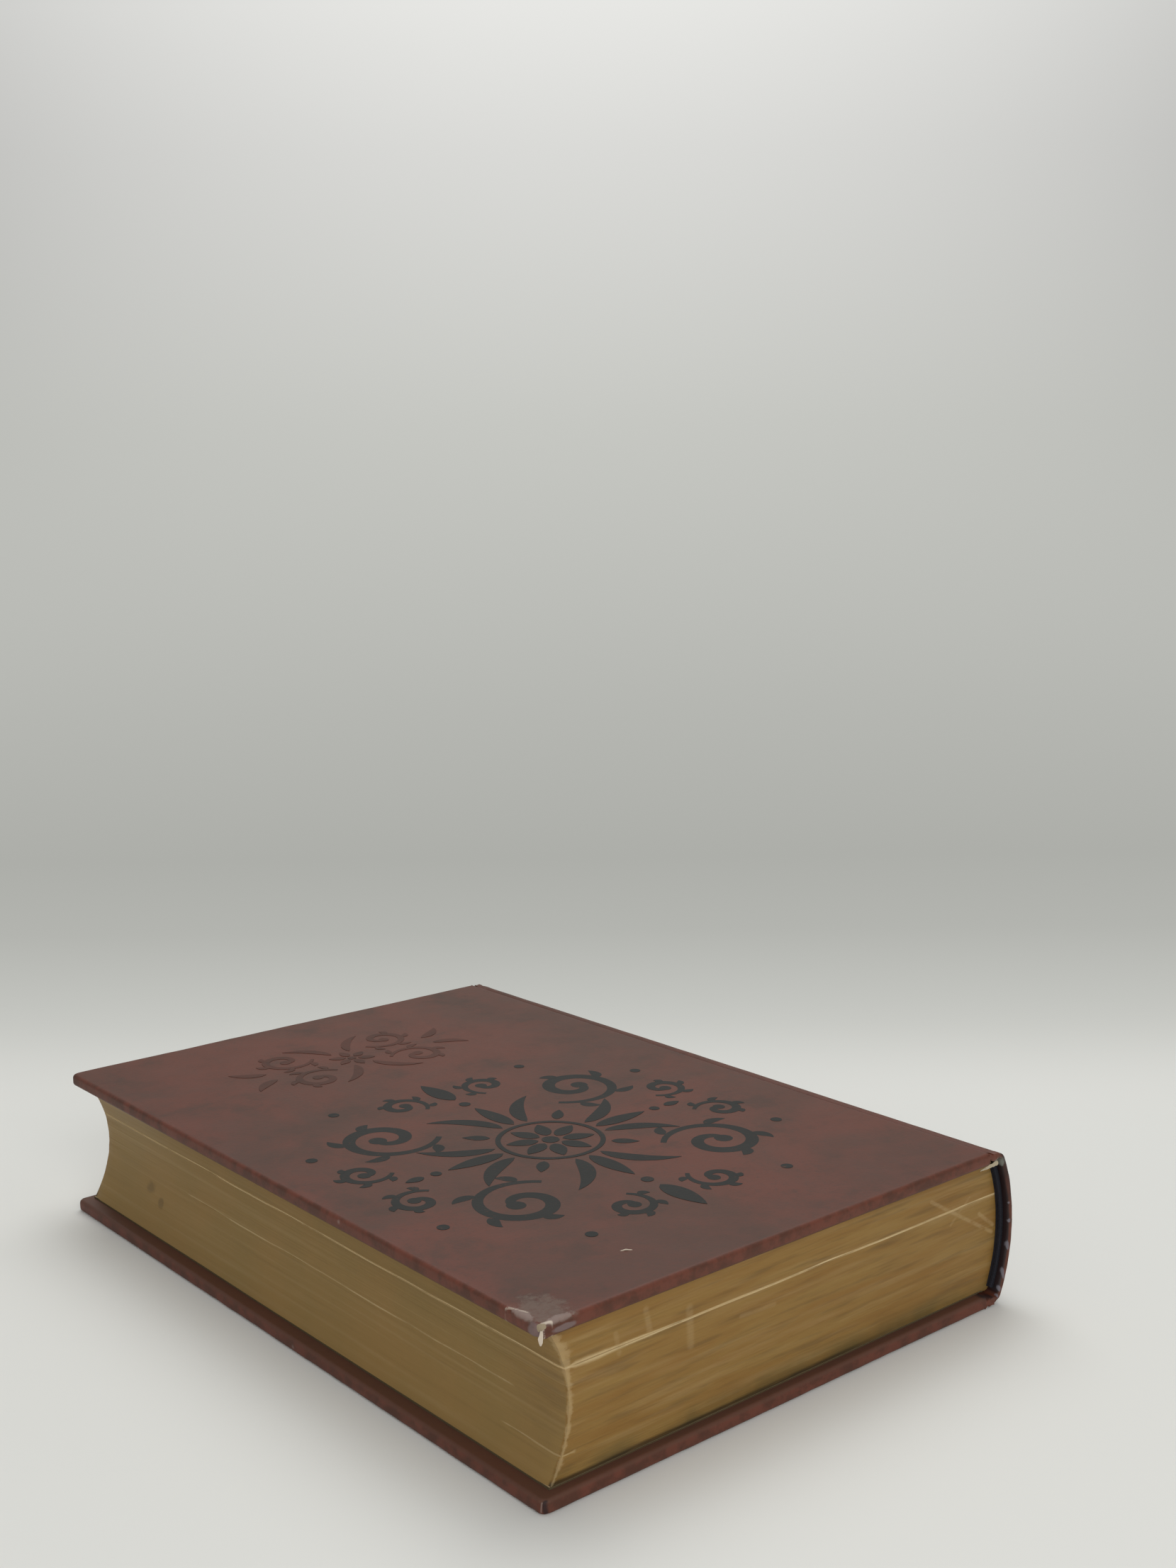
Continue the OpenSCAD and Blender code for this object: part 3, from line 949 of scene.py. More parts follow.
@dataclass(frozen=True)
class PaperFinish:
    """Aged paper, plain, browned towards its edges, with its cut edge a gilt brown darkened as painted
    shadow.
    """

    cream: Colour = srgb(205, 190, 158)
    brown: Colour = srgb(168, 144, 104)
    # Gilt brown of the cut edge, darkened as painted shadow.
    edge: Colour = srgb(64, 52, 32)
    roughness: float = 0.85

    def make(self, name: str, section: BookSection) -> bpy.types.Material:
        """Makes the paper, with its stains placed by the size of the pages."""
        r = Recipe(name)
        rim = (section.page_half_h - abs(r.y)).min(r.x - section.page_fore_x).max(0.0)
        toned = (rim.step(22, 0) * 0.7 + r.noise(26, 4.0, 0.6) * 0.6 - 0.2).max(0.0).min(1.0)
        spots = r.noise(2.6, 2.0, 0.5, shift=4.0).step(0.70, 0.76) * 0.6
        colour = r.mix(toned.max(spots), self.cream, self.brown)
        # Painted shadow: the cut edge turns a dark gilt brown.
        colour = r.mix(rim.step(0.25, 0.1) * 0.9, colour, self.edge)
        fibres = r.noise(0.5, 4.0, 0.7, where=r.stretched(1.0, 0.3, 1.0))
        return r.finish(Base_Color=colour, Roughness=self.roughness, Normal=r.bump(fibres, 0.02),
                        Specular_IOR_Level=0.25)


@dataclass(frozen=True)
class ClothFinish:
    """Woven cloth with threads along the book and across it."""

    thread: Colour
    between: Colour
    pitch: float
    roughness: float = 0.9
    depth: float = 0.12

    def make(self, name: str) -> bpy.types.Material:
        """Makes the weave."""
        r = Recipe(name)
        turn = 2 * math.pi / self.pitch
        across = (r.y * turn).math("SINE") * 0.5 + 0.5
        along = ((r.x + r.z) * turn).math("SINE") * 0.5 + 0.5
        weave = across.max(along)
        wear = r.noise(1.2, 3.0, 0.6)
        colour = r.mix(weave.step(0.35, 0.8) * (wear * 0.4 + 0.6), self.between, self.thread)
        return r.finish(Base_Color=colour, Roughness=self.roughness, Normal=r.bump(weave, self.depth),
                        Specular_IOR_Level=0.2)


@dataclass(frozen=True)
class PulpFinish:
    """Grey-brown pulp board or lining paper, speckled with fibres."""

    ground: Colour
    speck: Colour
    roughness: float = 0.92

    def make(self, name: str) -> bpy.types.Material:
        """Makes the board."""
        r = Recipe(name)
        specks = r.noise(0.9, 4.0, 0.7).step(0.5, 0.72)
        clouds = r.noise(14, 3.0)
        colour = r.mix((specks * 0.6 + clouds * 0.3).min(1.0), self.ground, self.speck)
        return r.finish(Base_Color=colour, Roughness=self.roughness, Normal=r.bump(specks, 0.05),
                        Specular_IOR_Level=0.2)


@dataclass(frozen=True)
class Parting:
    """A place where the leaves have opened a little and show bare paper, along the page edges."""

    height: float
    width: float
    depth: float
    fore_from: float
    fore_to: float
    on_ends: bool
    strength: float
    corner_x: Pair = (-75.0, -73.0)
    fore_x: Pair = (-73.0, -74.0)

    def pressed(self, y: float, at_end: bool) -> float:
        """How far the leaf at the parting lies inside the others, at a place on the page edges."""
        return self.depth if (self.on_ends if at_end else self.fore_from < y < self.fore_to) else 0.0

    def mask(self, r: Recipe) -> Signal:
        """Mask of the pale line in the gilding's recipe."""
        sway = (r.noise(30, 2.0, 0.5, where=r.stretched(1.0, 1.0, 0.0, 2.0)) - 0.5) * 0.8
        past_corner = r.x.step(*self.corner_x)
        spread = r.near(Patch(-80, -117, self.height, 46)) * past_corner
        wide = spread * (r.noise(5, 2.0) * 2.4 + 0.6) + 1.0
        line = (abs(r.z - self.height - sway) / wide).step(self.width * 1.25, self.width * 0.15)
        shown = r.y.step(self.fore_from - 2, self.fore_from + 2)
        shown = shown * r.y.step(self.fore_to + 2, self.fore_to - 2)
        shown = shown.max(past_corner) if self.on_ends else shown * r.x.step(*self.fore_x)
        patchy = r.noise(9, 3.0, 0.6, where=r.stretched(1.0, 1.0, 0.3, 6.0)).step(0.25, 0.55) * 0.5 + 0.5
        return line * shown * patchy * (1 - spread * 0.45) * self.strength


@dataclass
class PageBlock:
    """All the pages: one stack with a hollow fore edge, a round back, uneven leaves and a few partings."""

    section: BookSection
    finish: GiltFinish
    row_step: float = 0.16
    fore_step: float = 2.2
    side_step: float = 2.2
    groove: float = 0.3
    shift: float = 0.05
    corner_depth: float = 0.35
    corner_reach: float = 1.4
    foot_h: float = 4.5
    foot_depth: float = 0.2
    foot_reach: float = 2.6

    @property
    def partings(self) -> list[Parting]:
        """The partings that the page edges show, from the front of the book to the back."""
        z = self.section.page_z
        return [Parting(z + 27.2, 0.36, 0.4, -118, 118, True, 0.9),
                Parting(z + 15.2, 0.26, 0.2, -96, 62, False, 0.5),
                Parting(z + 6.2, 0.24, 0.2, -118, -96, False, 0.4)]

    def levels(self) -> list[tuple[float, Parting | None]]:
        """Levels of the rows from the last page up, each with the parting that lies there."""
        s = self.section
        found = [(z, None) for z in spaced(s.page_z, s.book_t - s.page_z, self.row_step)]
        half = self.groove / 2
        for parting in self.partings:
            h = parting.height
            kept = [level for level in found if abs(level[0] - h) > half + 0.02]
            found = kept + [(h - half, None), (h, parting), (h + half, None)]
        return sorted(found, key=lambda level: level[0])

    def shift_at(self, point: Vector) -> float:
        """How far a leaf's edge stands proud, so that leaves, gatherings and waves show."""
        leaf = noise.noise(Vector((3.1, point.x / 300, point.z * 3.1)))
        gathering = noise.noise(Vector((8.7, point.x / 150 + point.y / 200, point.z * 0.42)))
        wave = noise.noise(Vector((point.x / 45, point.y / 45, point.z * 0.09)))
        return self.shift * (leaf + 2.0 * gathering + 2.2 * wave)

    def ring(self, z: float, parting: Parting | None = None, shoulder: float | None = None) -> list[Vector]:
        """Outline of one leaf, from the head round the fore edge and the tail to the back.

        Args:
            z: Level of the leaf.
            parting: Parting that the leaf lies in.
            shoulder: Start of a leaf that is only part of a backed shoulder.

        Returns:
            Points of a closed ring, as many for every leaf.
        """
        s = self.section
        h = s.page_half_h
        fore = s.page_fore(z) if shoulder is None else shoulder
        back = s.page_back(z)
        xs = [fore + (back - fore) * t for t in spaced(0, 1, self.side_step / (s.joint_x - s.page_fore_x))]
        points = [(Vector((x, h, z)), (0, -1)) for x in reversed(xs[1:])]
        points += [(Vector((fore, y, z)), (1, 0)) for y in spaced(h, -h, self.fore_step)]
        points += [(Vector((x, -h, z)), (0, 1)) for x in xs[1:]]
        points += [(Vector((back, y, z)), (0, 0)) for y in (-h / 2, 0.0, h / 2)]
        moved = []
        for point, (inx, iny) in points:
            if shoulder is None and (inx or iny):
                depth = (parting.pressed(point.y, bool(iny)) if parting else 0.0) - self.shift_at(point)
                corner = math.hypot(point.x - fore, h - abs(point.y))
                foot = fade(z - s.page_z, 0.0, self.foot_h)
                rubbed = fade(corner, 0, self.corner_reach + self.foot_reach * foot)
                depth += (self.corner_depth + self.foot_depth * foot) * rubbed
                point = point + Vector((inx * depth, iny * depth, 0))
            moved.append(point)
        return moved

    def build(self) -> None:
        """Makes the stack and puts it on the book's body."""
        s = self.section
        draft = MeshDraft()
        rings = [self.ring(z, parting) for z, parting in self.levels()]
        run = 3 * s.backing
        start = s.joint_x + 2 * s.hinge_gap
        flare = [(0.001, start), (s.backing / 2, start + run / 2), (s.backing, start + run)]
        for over, x in flare:
            rings.insert(0, self.ring(s.page_z - over, shoulder=x))
            rings.append(self.ring(s.book_t - s.page_z + over, shoulder=x))
        draft.tube(rings)
        gilding = self.finish.make("gilt page edges", s, self.partings)
        made = draft.make("page_block", gilding, sharp_deg=60)
        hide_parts("text_block")
        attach(made, "book_block")
        LOG.info("page_block: %d rows of leaves", len(rings))


@dataclass
class CoverSkin:
    """Leather of one cover: face, wrapped and rounded edges, turn-ins and its half of the joint."""

    section: BookSection
    side: Cover
    material: bpy.types.Material
    ring: float = 3.0
    fine: float = 0.6
    coarse: float = 2.0
    fine_run: float = 18.0

    @cached_property
    def x_lines(self) -> list[float]:
        """Lines across the face, from the fore corner's rounding to the end of the board."""
        s = self.section
        to_arc = graded(s.fore_x + self.ring, s.edge_c[0], self.fine_run, self.fine, self.coarse)
        return [s.fore_x + s.corner_r] + to_arc + spaced(s.edge_c[0], s.board_end_x, 0.25)[1:]

    @cached_property
    def y_lines(self) -> list[float]:
        """Lines along the face, from the tail to the head."""
        end = self.section.half_h
        inner = graded(self.ring - end, end - self.ring, self.fine_run, self.fine, self.coarse)
        return [self.section.corner_r - end] + inner + [end - self.section.corner_r]

    def outline(self) -> list[Callable[[float], Plan]]:
        """Places round the three wrapped edges, each as a function of the distance inside the outline.

        Returns:
            Functions that give X, Y and the outward direction in plan.
        """
        s = self.section
        h, cr = s.half_h, s.corner_r

        def along_end(x: float, sign: int) -> Callable[[float], Plan]:
            """Place on the head or tail edge."""
            return lambda d: (max(x, s.fore_x + d), sign * (h - d), 0.0, float(sign))

        def round_corner(degrees: float, sign: int) -> Callable[[float], Plan]:
            """Place on the rounding of a fore corner, or on its mitre further in."""
            c, k = direction(180 - degrees)

            def at(d: float) -> Plan:
                """Point at a distance inside the outline."""
                r = cr - d
                if r > 0:
                    return s.fore_x + cr + r * c, sign * (h - cr + r * k), c, sign * k
                return s.fore_x + d, sign * (h - d), c, sign * k
            return at

        def along_fore(y: float) -> Callable[[float], Plan]:
            """Place on the fore edge."""
            return lambda d: (s.fore_x + d, min(h - d, max(d - h, y)), -1.0, 0.0)

        turn = spaced(90, 0, 5)[1:-1]
        places = [along_end(x, 1) for x in reversed(self.x_lines)]
        places += [round_corner(a, 1) for a in turn]
        places += [along_fore(y) for y in reversed(self.y_lines)]
        places += [round_corner(a, -1) for a in reversed(turn)]
        return places + [along_end(x, -1) for x in self.x_lines]

    def profile(self) -> list[tuple[float, float, float, float]]:
        """Profile of a wrapped edge, as distance inside the outline, level and outward normal."""
        s = self.section
        r, t = s.edge_r, s.covered_t
        stations = [(d, t, 0.0, 1.0) for d in (s.turn_in, 11.0, 7.0, 4.0, 2.4)]
        for centre, angles in ((t - r, spaced(90, 0, 15)), (r, spaced(0, -90, 15))):
            for angle in angles:
                c, k = direction(angle)
                stations.append((r - r * c, centre + r * k, c, k))
        return stations + [(d, 0.0, 0.0, -1.0) for d in (1.6, 2.0, 2.4, self.ring)]

    def lift(self, x: float) -> float:
        """How far the outer face has risen towards the joint."""
        over = max(0.0, x - self.section.edge_c[0])
        return self.section.edge_r - math.sqrt(self.section.edge_r ** 2 - over ** 2)

    def relief(self, point: Vector) -> float:
        """How far the outer face stands proud of its true plane, with waves and dents of use."""
        seed = 3.0 if self.side is Cover.FRONT else 17.0
        rise = 0.10 * ripple(point, 48, seed) + 0.03 * ripple(point, 8, seed)
        s = self.section
        for x, y, reach, depth in ((s.fore_x, -s.half_h, 9.0, 0.22), (s.fore_x, s.half_h, 6.0, 0.10)):
            close = fade(math.hypot(point.x - x, point.y - y), 0, reach)
            rise += depth * close * ripple(point, 2.3, seed + 4)
        return rise

    def worn(self, point: Vector, normal: Vector, share: float) -> Vector:
        """Moves a point of the outer skin by the wear there.

        Args:
            point: Place in the frame.
            normal: Outward direction.
            share: How much the surface has seen of use, 0 inside the cover and 1 outside.

        Returns:
            The moved place.
        """
        s = self.section
        rim = min(point.x - s.fore_x, s.half_h - abs(point.y))
        rise = self.relief(point) + fade(rim, 0.3, 2.5) * (0.10 * ripple(point, 6, 5.0) - 0.04)
        if self.side is Cover.BACK:
            return point + normal * (min(rise, 0.0) * share)
        corner = math.hypot(point.x - s.fore_x, point.y + s.half_h)
        crushed = fade(corner, 1.5, 7.0) * 0.42 * ripple(point, 1.9, 2.0)
        dent = Vector((0.2, 0.22, -0.14)) * fade(corner, 0.5, 6.0) * share
        return point + normal * (rise * share + crushed) + dent

    def placed(self, x: float, y: float, z: float, normal: Triple, share: float) -> Vector:
        """Point of the skin on this cover, worn, from a point of the back cover."""
        if self.side is Cover.FRONT:
            z, normal = self.section.book_t - z, (normal[0], normal[1], -normal[2])
        return self.worn(Vector((x, y, z)), Vector(normal), share)

    def wrapped(self, depth: float) -> list[list[Vector]]:
        """Rows of the wrapped edges, a given depth under the outer surface."""
        t = self.section.covered_t
        rows = []
        for d, z, out, up in self.profile():
            row = []
            for place in self.outline():
                x, y, dx, dy = place(d + depth * out)
                level = max(z - depth * up, self.lift(x) + depth)
                share = fade(z, 0.55 * t, t)
                row.append(self.placed(x, y, level, (out * dx, out * dy, up), share))
            rows.append(row)
        return rows

    def face(self, depth: float) -> list[list[Vector]]:
        """Rows of the outer face, a given depth under its surface."""
        return [[self.placed(x, y, self.lift(x) + depth, (0.0, 0.0, -1.0), 1.0) for y in self.y_lines[1:-1]]
                for x in self.x_lines[1:]]

    def build(self) -> None:
        """Makes the skin and puts it on the cover's body."""
        s = self.section
        draft = MeshDraft()
        outer, inner = self.wrapped(0.0), self.wrapped(s.leather_t)
        face, lining = self.face(0.0), self.face(s.leather_t)
        over, under = draft.loft(outer), draft.loft(inner)
        face_over, face_under = draft.loft(face), draft.loft(lining)
        draft.bridge(over[0], under[0])
        for side in (0, -1):
            draft.bridge([row[side] for row in over], [row[side] for row in under])
        draft.bridge(face_over[-1], face_under[-1])
        draft.tube(self.turned(fold_rings(s, s.joint_stations())))
        made = draft.make(f"{self.side.value}_cover_skin", self.material)
        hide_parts(f"{self.side.value}_cover_leather")
        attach(made, self.side.body)
        LOG.info("%s: %d points", made.name, len(made.data.vertices))

    def turned(self, rings: list[list[Vector]]) -> list[list[Vector]]:
        """Rings of a back-cover piece, turned over for the front cover."""
        if self.side is Cover.BACK:
            return rings
        return [[Vector((p.x, p.y, self.section.book_t - p.z)) for p in ring] for ring in rings]


def fold_rings(section: BookSection, stations: Sequence[Station],
               wear: Callable[[Vector, Vector], Vector] | None = None) -> list[list[Vector]]:
    """Rings of a strip of leather that is folded over at the head and the tail.

    Args:
        section: Sizes of the book.
        stations: Its outer surface in section.
        wear: Moves a point of the outer surface along its normal.

    Returns:
        One closed ring for each station: along the outside, round the head, back inside and round the tail.
    """
    rings = []
    for st in stations:
        end = section.half_h - st.fold
        normal = Vector((st.nx, 0, st.nz))

        def place(y: float, depth: float) -> Vector:
            """Point of the fold, with the joint's gathered leather and the wear."""
            point = st.at(y, depth - section.swell(st.x, y) * (1 - depth / (2 * st.fold)))
            return wear(point, normal) if wear else point

        turns = [direction(a) for a in spaced(0, 180, 22.5)[1:-1]]
        ring = [place(y, 0.0) for y in section.along(end, 2.0)]
        ring += [place(end + st.fold * s, st.fold * (1 - c)) for c, s in turns]
        ring += [place(y, 2 * st.fold) for y in spaced(end, -end, 12.0)]
        ring += [place(-end - st.fold * s, st.fold * (1 + c)) for c, s in turns]
        rings.append(ring)
    return rings


@dataclass
class SpineSkin:
    """Leather of the spine: crown, shoulders and the other halves of the joints, folded in at both ends."""

    section: BookSection
    material: bpy.types.Material

    def wear(self, point: Vector, normal: Vector) -> Vector:
        """Moves a point of the outer surface by the waves of use, more at the head and the tail."""
        end = fade(self.section.half_h - abs(point.y), 0.5, 8)
        rise = 0.10 * ripple(point, 40, 23.0) + 0.05 * ripple(point, 9, 5.0)
        rise += 0.16 * end * ripple(point, 3.4, 9.0)
        return point + normal * rise * (1 - fade(point.x - self.section.groove_c[0], 0.8, 3.0))

    def build(self) -> None:
        """Makes the spine leather and puts it on the book's body."""
        draft = MeshDraft()
        draft.tube(fold_rings(self.section, self.section.spine_stations(), self.wear))
        made = draft.make("spine_skin", self.material)
        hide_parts("spine_leather")
        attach(made, "book_block")
        LOG.info("spine_skin: %d points", len(made.data.vertices))


@dataclass
class JointStrips:
    """Leather and endpaper along a hinge line, between the book and one cover."""

    section: BookSection
    side: Cover
    leather: bpy.types.Material
    paper: bpy.types.Material
    reach_a: float = 26.0
    bend: float = 0.75
    proud: float = 0.03
    leather_h: float = 0.85
    leather_short: float = 0.06
    paper_h: float = 0.12
    paper_short: float = 0.05
    paper_fold: float = 1.4
    paper_middle: float = -1.5

    def placed(self, x: float, y: float, z: float) -> Vector:
        """Point of the strip on this side of the book."""
        return Vector((x, y, z if self.side is Cover.BACK else self.section.book_t - z))

    def leather_rings(self) -> list[list[Vector]]:
        """Rings of the leather over the hinge gap, thin at both sides and full over the gap."""
        s = self.section
        gx, gz = s.groove_c
        ys = s.along(s.half_h - self.leather_short, 4.0)
        rings = []
        for angle in spaced(90 - self.reach_a, 90 + self.reach_a, 1.6):
            c, k = direction(angle)
            full = fade(abs(angle - 90), 3, self.reach_a)
            outer, inner = s.groove_r - self.proud * full, s.groove_r + 0.01 + self.leather_h * full
            low = [self.placed(gx + outer * c, y, gz + outer * k - s.swell(gx + outer * c, y)) for y in ys]
            high = [self.placed(gx + inner * c, y, gz + inner * k) for y in reversed(ys)]
            rings.append(low + high)
        return rings

    def paper_rings(self) -> list[list[Vector]]:
        """Rings of the endpaper from the loose leaf to the pasted one."""
        s = self.section
        hinge = s.groove_c[0]
        end = s.page_half_h - self.paper_short
        line = [(hinge - 0.2, 3.62), (hinge - 0.7, 3.68), (hinge - 1.2, 3.76), (hinge - 1.7, 3.83),
                (hinge - 2.2, 3.88), (hinge - 2.7, 3.91), (hinge - 3.6, 3.93)]
        rings = []
        for x, z in line:
            low = [self.placed(x, y, z) for y in spaced(-end, end, 6.0)]
            high = [self.placed(x, y, z + self.paper_h) for y in spaced(end, -end, 6.0)]
            rings.append(low + high)
        return rings

    def build(self) -> None:
        """Makes both strips."""
        hinge = self.section.groove_c[0]
        for name, rings, material, slot, middle, half in (
                ("joint_leather", self.leather_rings(), self.leather, "cover_leather", hinge, self.bend),
                ("paper_hinge", self.paper_rings(), self.paper, "endpaper", hinge + self.paper_middle,
                 self.paper_fold)):
            draft = MeshDraft()
            draft.tube(rings)
            strip = draft.make(f"{self.side.value}_{name}", material)
            (middle + half) * MM
            (middle - half) * MM
            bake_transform(strip)
            LOG.info("%s: bends over %.1f mm", strip.name, 2 * half)


class NodeTree:
    """A Geometry Nodes tree with named inputs, used on a line of points and made into a plain mesh."""

    def __init__(self, name: str, inputs: dict[str, tuple[str, float]]) -> None:
        """Starts a tree.

        Args:
            name: Name of the tree.
            inputs: Socket type and value of each named input.
        """
        self.tree = bpy.data.node_groups.new(name, "GeometryNodeTree")
        self.tree.interface.new_socket("Geometry", in_out="INPUT", socket_type="NodeSocketGeometry")
        self.values = {key: value for key, (_, value) in inputs.items()}
        for key, (kind, _) in inputs.items():
            self.tree.interface.new_socket(key, in_out="INPUT", socket_type=kind)
        self.tree.interface.new_socket("Geometry", in_out="OUTPUT", socket_type="NodeSocketGeometry")
        self.start = self.add("NodeGroupInput")

    def add(self, kind: str, settings: dict | None = None, **inputs: object) -> bpy.types.Node:
        """Adds a node, with its inputs by name, spaces written as underscores."""
        made = self.tree.nodes.new(kind)
        for key, value in (settings or {}).items():
            setattr(made, key, value)
        for key, value in inputs.items():
            socket = made.inputs[key.replace("_", " ")]
            if isinstance(value, bpy.types.NodeSocket):
                self.tree.links.new(value, socket)
            else:
                socket.default_value = value
        return made

    def use(self, made: bpy.types.Object, result: bpy.types.NodeSocket,
            material: bpy.types.Material) -> None:
        """Ends the tree, runs it on an object and leaves the result as the object's own mesh.

        Args:
            made: Object that the tree works on.
            result: Geometry that the tree has made.
            material: Finish that it gets.
        """
        plain = self.add("GeometryNodeRealizeInstances", Geometry=result)
        dressed = self.add("GeometryNodeSetMaterial", Geometry=plain.outputs[0], Material=material)
        self.add("NodeGroupOutput", Geometry=dressed.outputs[0])
        modifier = made.modifiers.new("tree", "NODES")
        modifier.node_group = self.tree
        for item in self.tree.interface.items_tree:
            if item.in_out == "INPUT" and item.name in self.values:
                modifier[item.identifier] = self.values[item.name]
        evaluated = made.evaluated_get(bpy.context.evaluated_depsgraph_get())
        mesh = bpy.data.meshes.new_from_object(evaluated)
        made.modifiers.remove(modifier)
        made.data = mesh


def line_object(name: str, lines: Sequence[Sequence[Vector]],
                widths: Sequence[Sequence[float]]) -> bpy.types.Object:
    """Makes an object of open lines whose points carry half a width, all in metres in the mesh.

    Args:
        name: Name of the object.
        lines: Points of each line, in millimetres.
        widths: Half width at each point, in millimetres.

    Returns:
        The linked object.
    """
    points, edges, halves = [], [], []
    for line, half in zip(lines, widths):
        first = len(points)
        points.extend(p * MM for p in line)
        halves.extend(w * MM for w in half)
        edges.extend((i, i + 1) for i in range(first, len(points) - 1))
    data = bpy.data.meshes.new(name)
    data.from_pydata(points, edges, [])
    data.attributes.new("half_width", "FLOAT", "POINT").data.foreach_set("value", halves)
    return linked_object(name, data)


@dataclass
class Headband:
    """Black band at one end of the pages' back: a cord wound with thread, on a cloth that is glued down."""

    section: BookSection
    end: End
    material: bpy.types.Material
    thread_r: float = 0.15
    thread_pitch: float = 0.34
    cord_sides: int = 14
    thread_sides: int = 5
    step_a: float = 0.02
    wound_share: float = 0.985
    foot_gap: float = 0.05

    @property
    def bead_r(self) -> float:
        """Radius of the wound cord."""
        return (self.section.bead_w + self.section.mull_t) / 2

    def at(self, radius: float, angle: float, out: float) -> Vector:
        """Point of the band by its radius and angle in section and its distance past the pages' end."""
        s = self.section
        return Vector((s.spine_x + radius * math.cos(angle), self.end.value * (s.page_half_h + out),
                       s.mid_z + radius * math.sin(angle)))

    def core_profile(self) -> list[Pair]:
        """Round bead, straight skirt down to the pages and thin tape down the back, by radius and height."""
        s = self.section
        r, inner = self.bead_r, s.back_rad - s.bead_w
        top = s.bead_h - r
        bead = [(inner + r + r * c, top + r * k) for c, k in map(direction, spaced(0, 180, 15))]
        outer = s.back_rad + s.mull_t
        foot = [(inner, self.foot_gap), (s.back_rad, self.foot_gap), (s.back_rad, -s.tape_l)]
        return [(outer, -s.tape_l)] + bead + foot

    def build(self) -> None:
        """Makes the band with its winding and puts it on the book's body."""
        s = self.section
        limit = math.radians(s.back_a)
        angles = spaced(-limit, limit, self.step_a)
        draft = MeshDraft()
        draft.tube([[self.at(r, a, out) for r, out in self.core_profile()] for a in angles])
        name = f"{self.end.name.lower()}_band"
        made = draft.make(name, self.material)

        centre, top = s.back_rad - s.bead_w + self.bead_r, s.bead_h - self.bead_r
        wound = limit * self.wound_share
        line = [self.at(centre, a, top) for a in spaced(-wound, wound, self.step_a)]
        winding = line_object(f"{name}_winding", [line], [[self.bead_r] * len(line)])
        tree = NodeTree("wound thread", {"Cord radius": ("NodeSocketFloat", self.bead_r * MM),
                                         "Thread radius": ("NodeSocketFloat", self.thread_r * MM),
                                         "Pitch": ("NodeSocketFloat", self.thread_pitch * MM)})
        given = tree.start.outputs
        curve = tree.add("GeometryNodeMeshToCurve", Mesh=given["Geometry"])
        points = tree.add("GeometryNodeCurveToPoints", {"mode": "LENGTH"}, Curve=curve.outputs[0],
                          Length=given["Pitch"])
        turn = tree.add("GeometryNodeCurvePrimitiveCircle", Resolution=self.cord_sides,
                        Radius=given["Cord radius"])
        thread = tree.add("GeometryNodeCurvePrimitiveCircle", Resolution=self.thread_sides,
                          Radius=given["Thread radius"])
        loop = tree.add("GeometryNodeCurveToMesh", Curve=turn.outputs[0], Profile_Curve=thread.outputs[0])
        loops = tree.add("GeometryNodeInstanceOnPoints", Points=points.outputs[0], Instance=loop.outputs[0],
                         Rotation=points.outputs["Rotation"])
        tree.use(winding, loops.outputs[0], self.material)
        join(made, winding)
        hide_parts("tailband" if self.end is End.TAIL else "headband")
        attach(made, "book_block")
        LOG.info("%s: %d faces", name, len(made.data.polygons))


def join(kept: bpy.types.Object, added: bpy.types.Object) -> None:
    """Adds one object's mesh to the kept one's and removes the added object."""
    mesh = bmesh.new()
    mesh.from_mesh(kept.data)
    mesh.from_mesh(added.data)
    shade(mesh, SHARP_DEG)
    mesh.to_mesh(kept.data)
    mesh.free()
    bpy.data.objects.remove(added)


@dataclass(frozen=True)
class Stroke:
    """One tapering stroke of the cover's ornament, as points in plan with half widths."""

    points: tuple[Pair, ...]
    halves: tuple[float, ...]

    def mirrored(self, u: int, v: int) -> "Stroke":
        """The stroke mirrored by a sign for each axis."""
        return Stroke(tuple((u * a, v * b) for a, b in self.points), self.halves)

    def moved(self, u: float, v: float) -> "Stroke":
        """The stroke moved across and along the cover."""
        return Stroke(tuple((a + u, b + v) for a, b in self.points), self.halves)


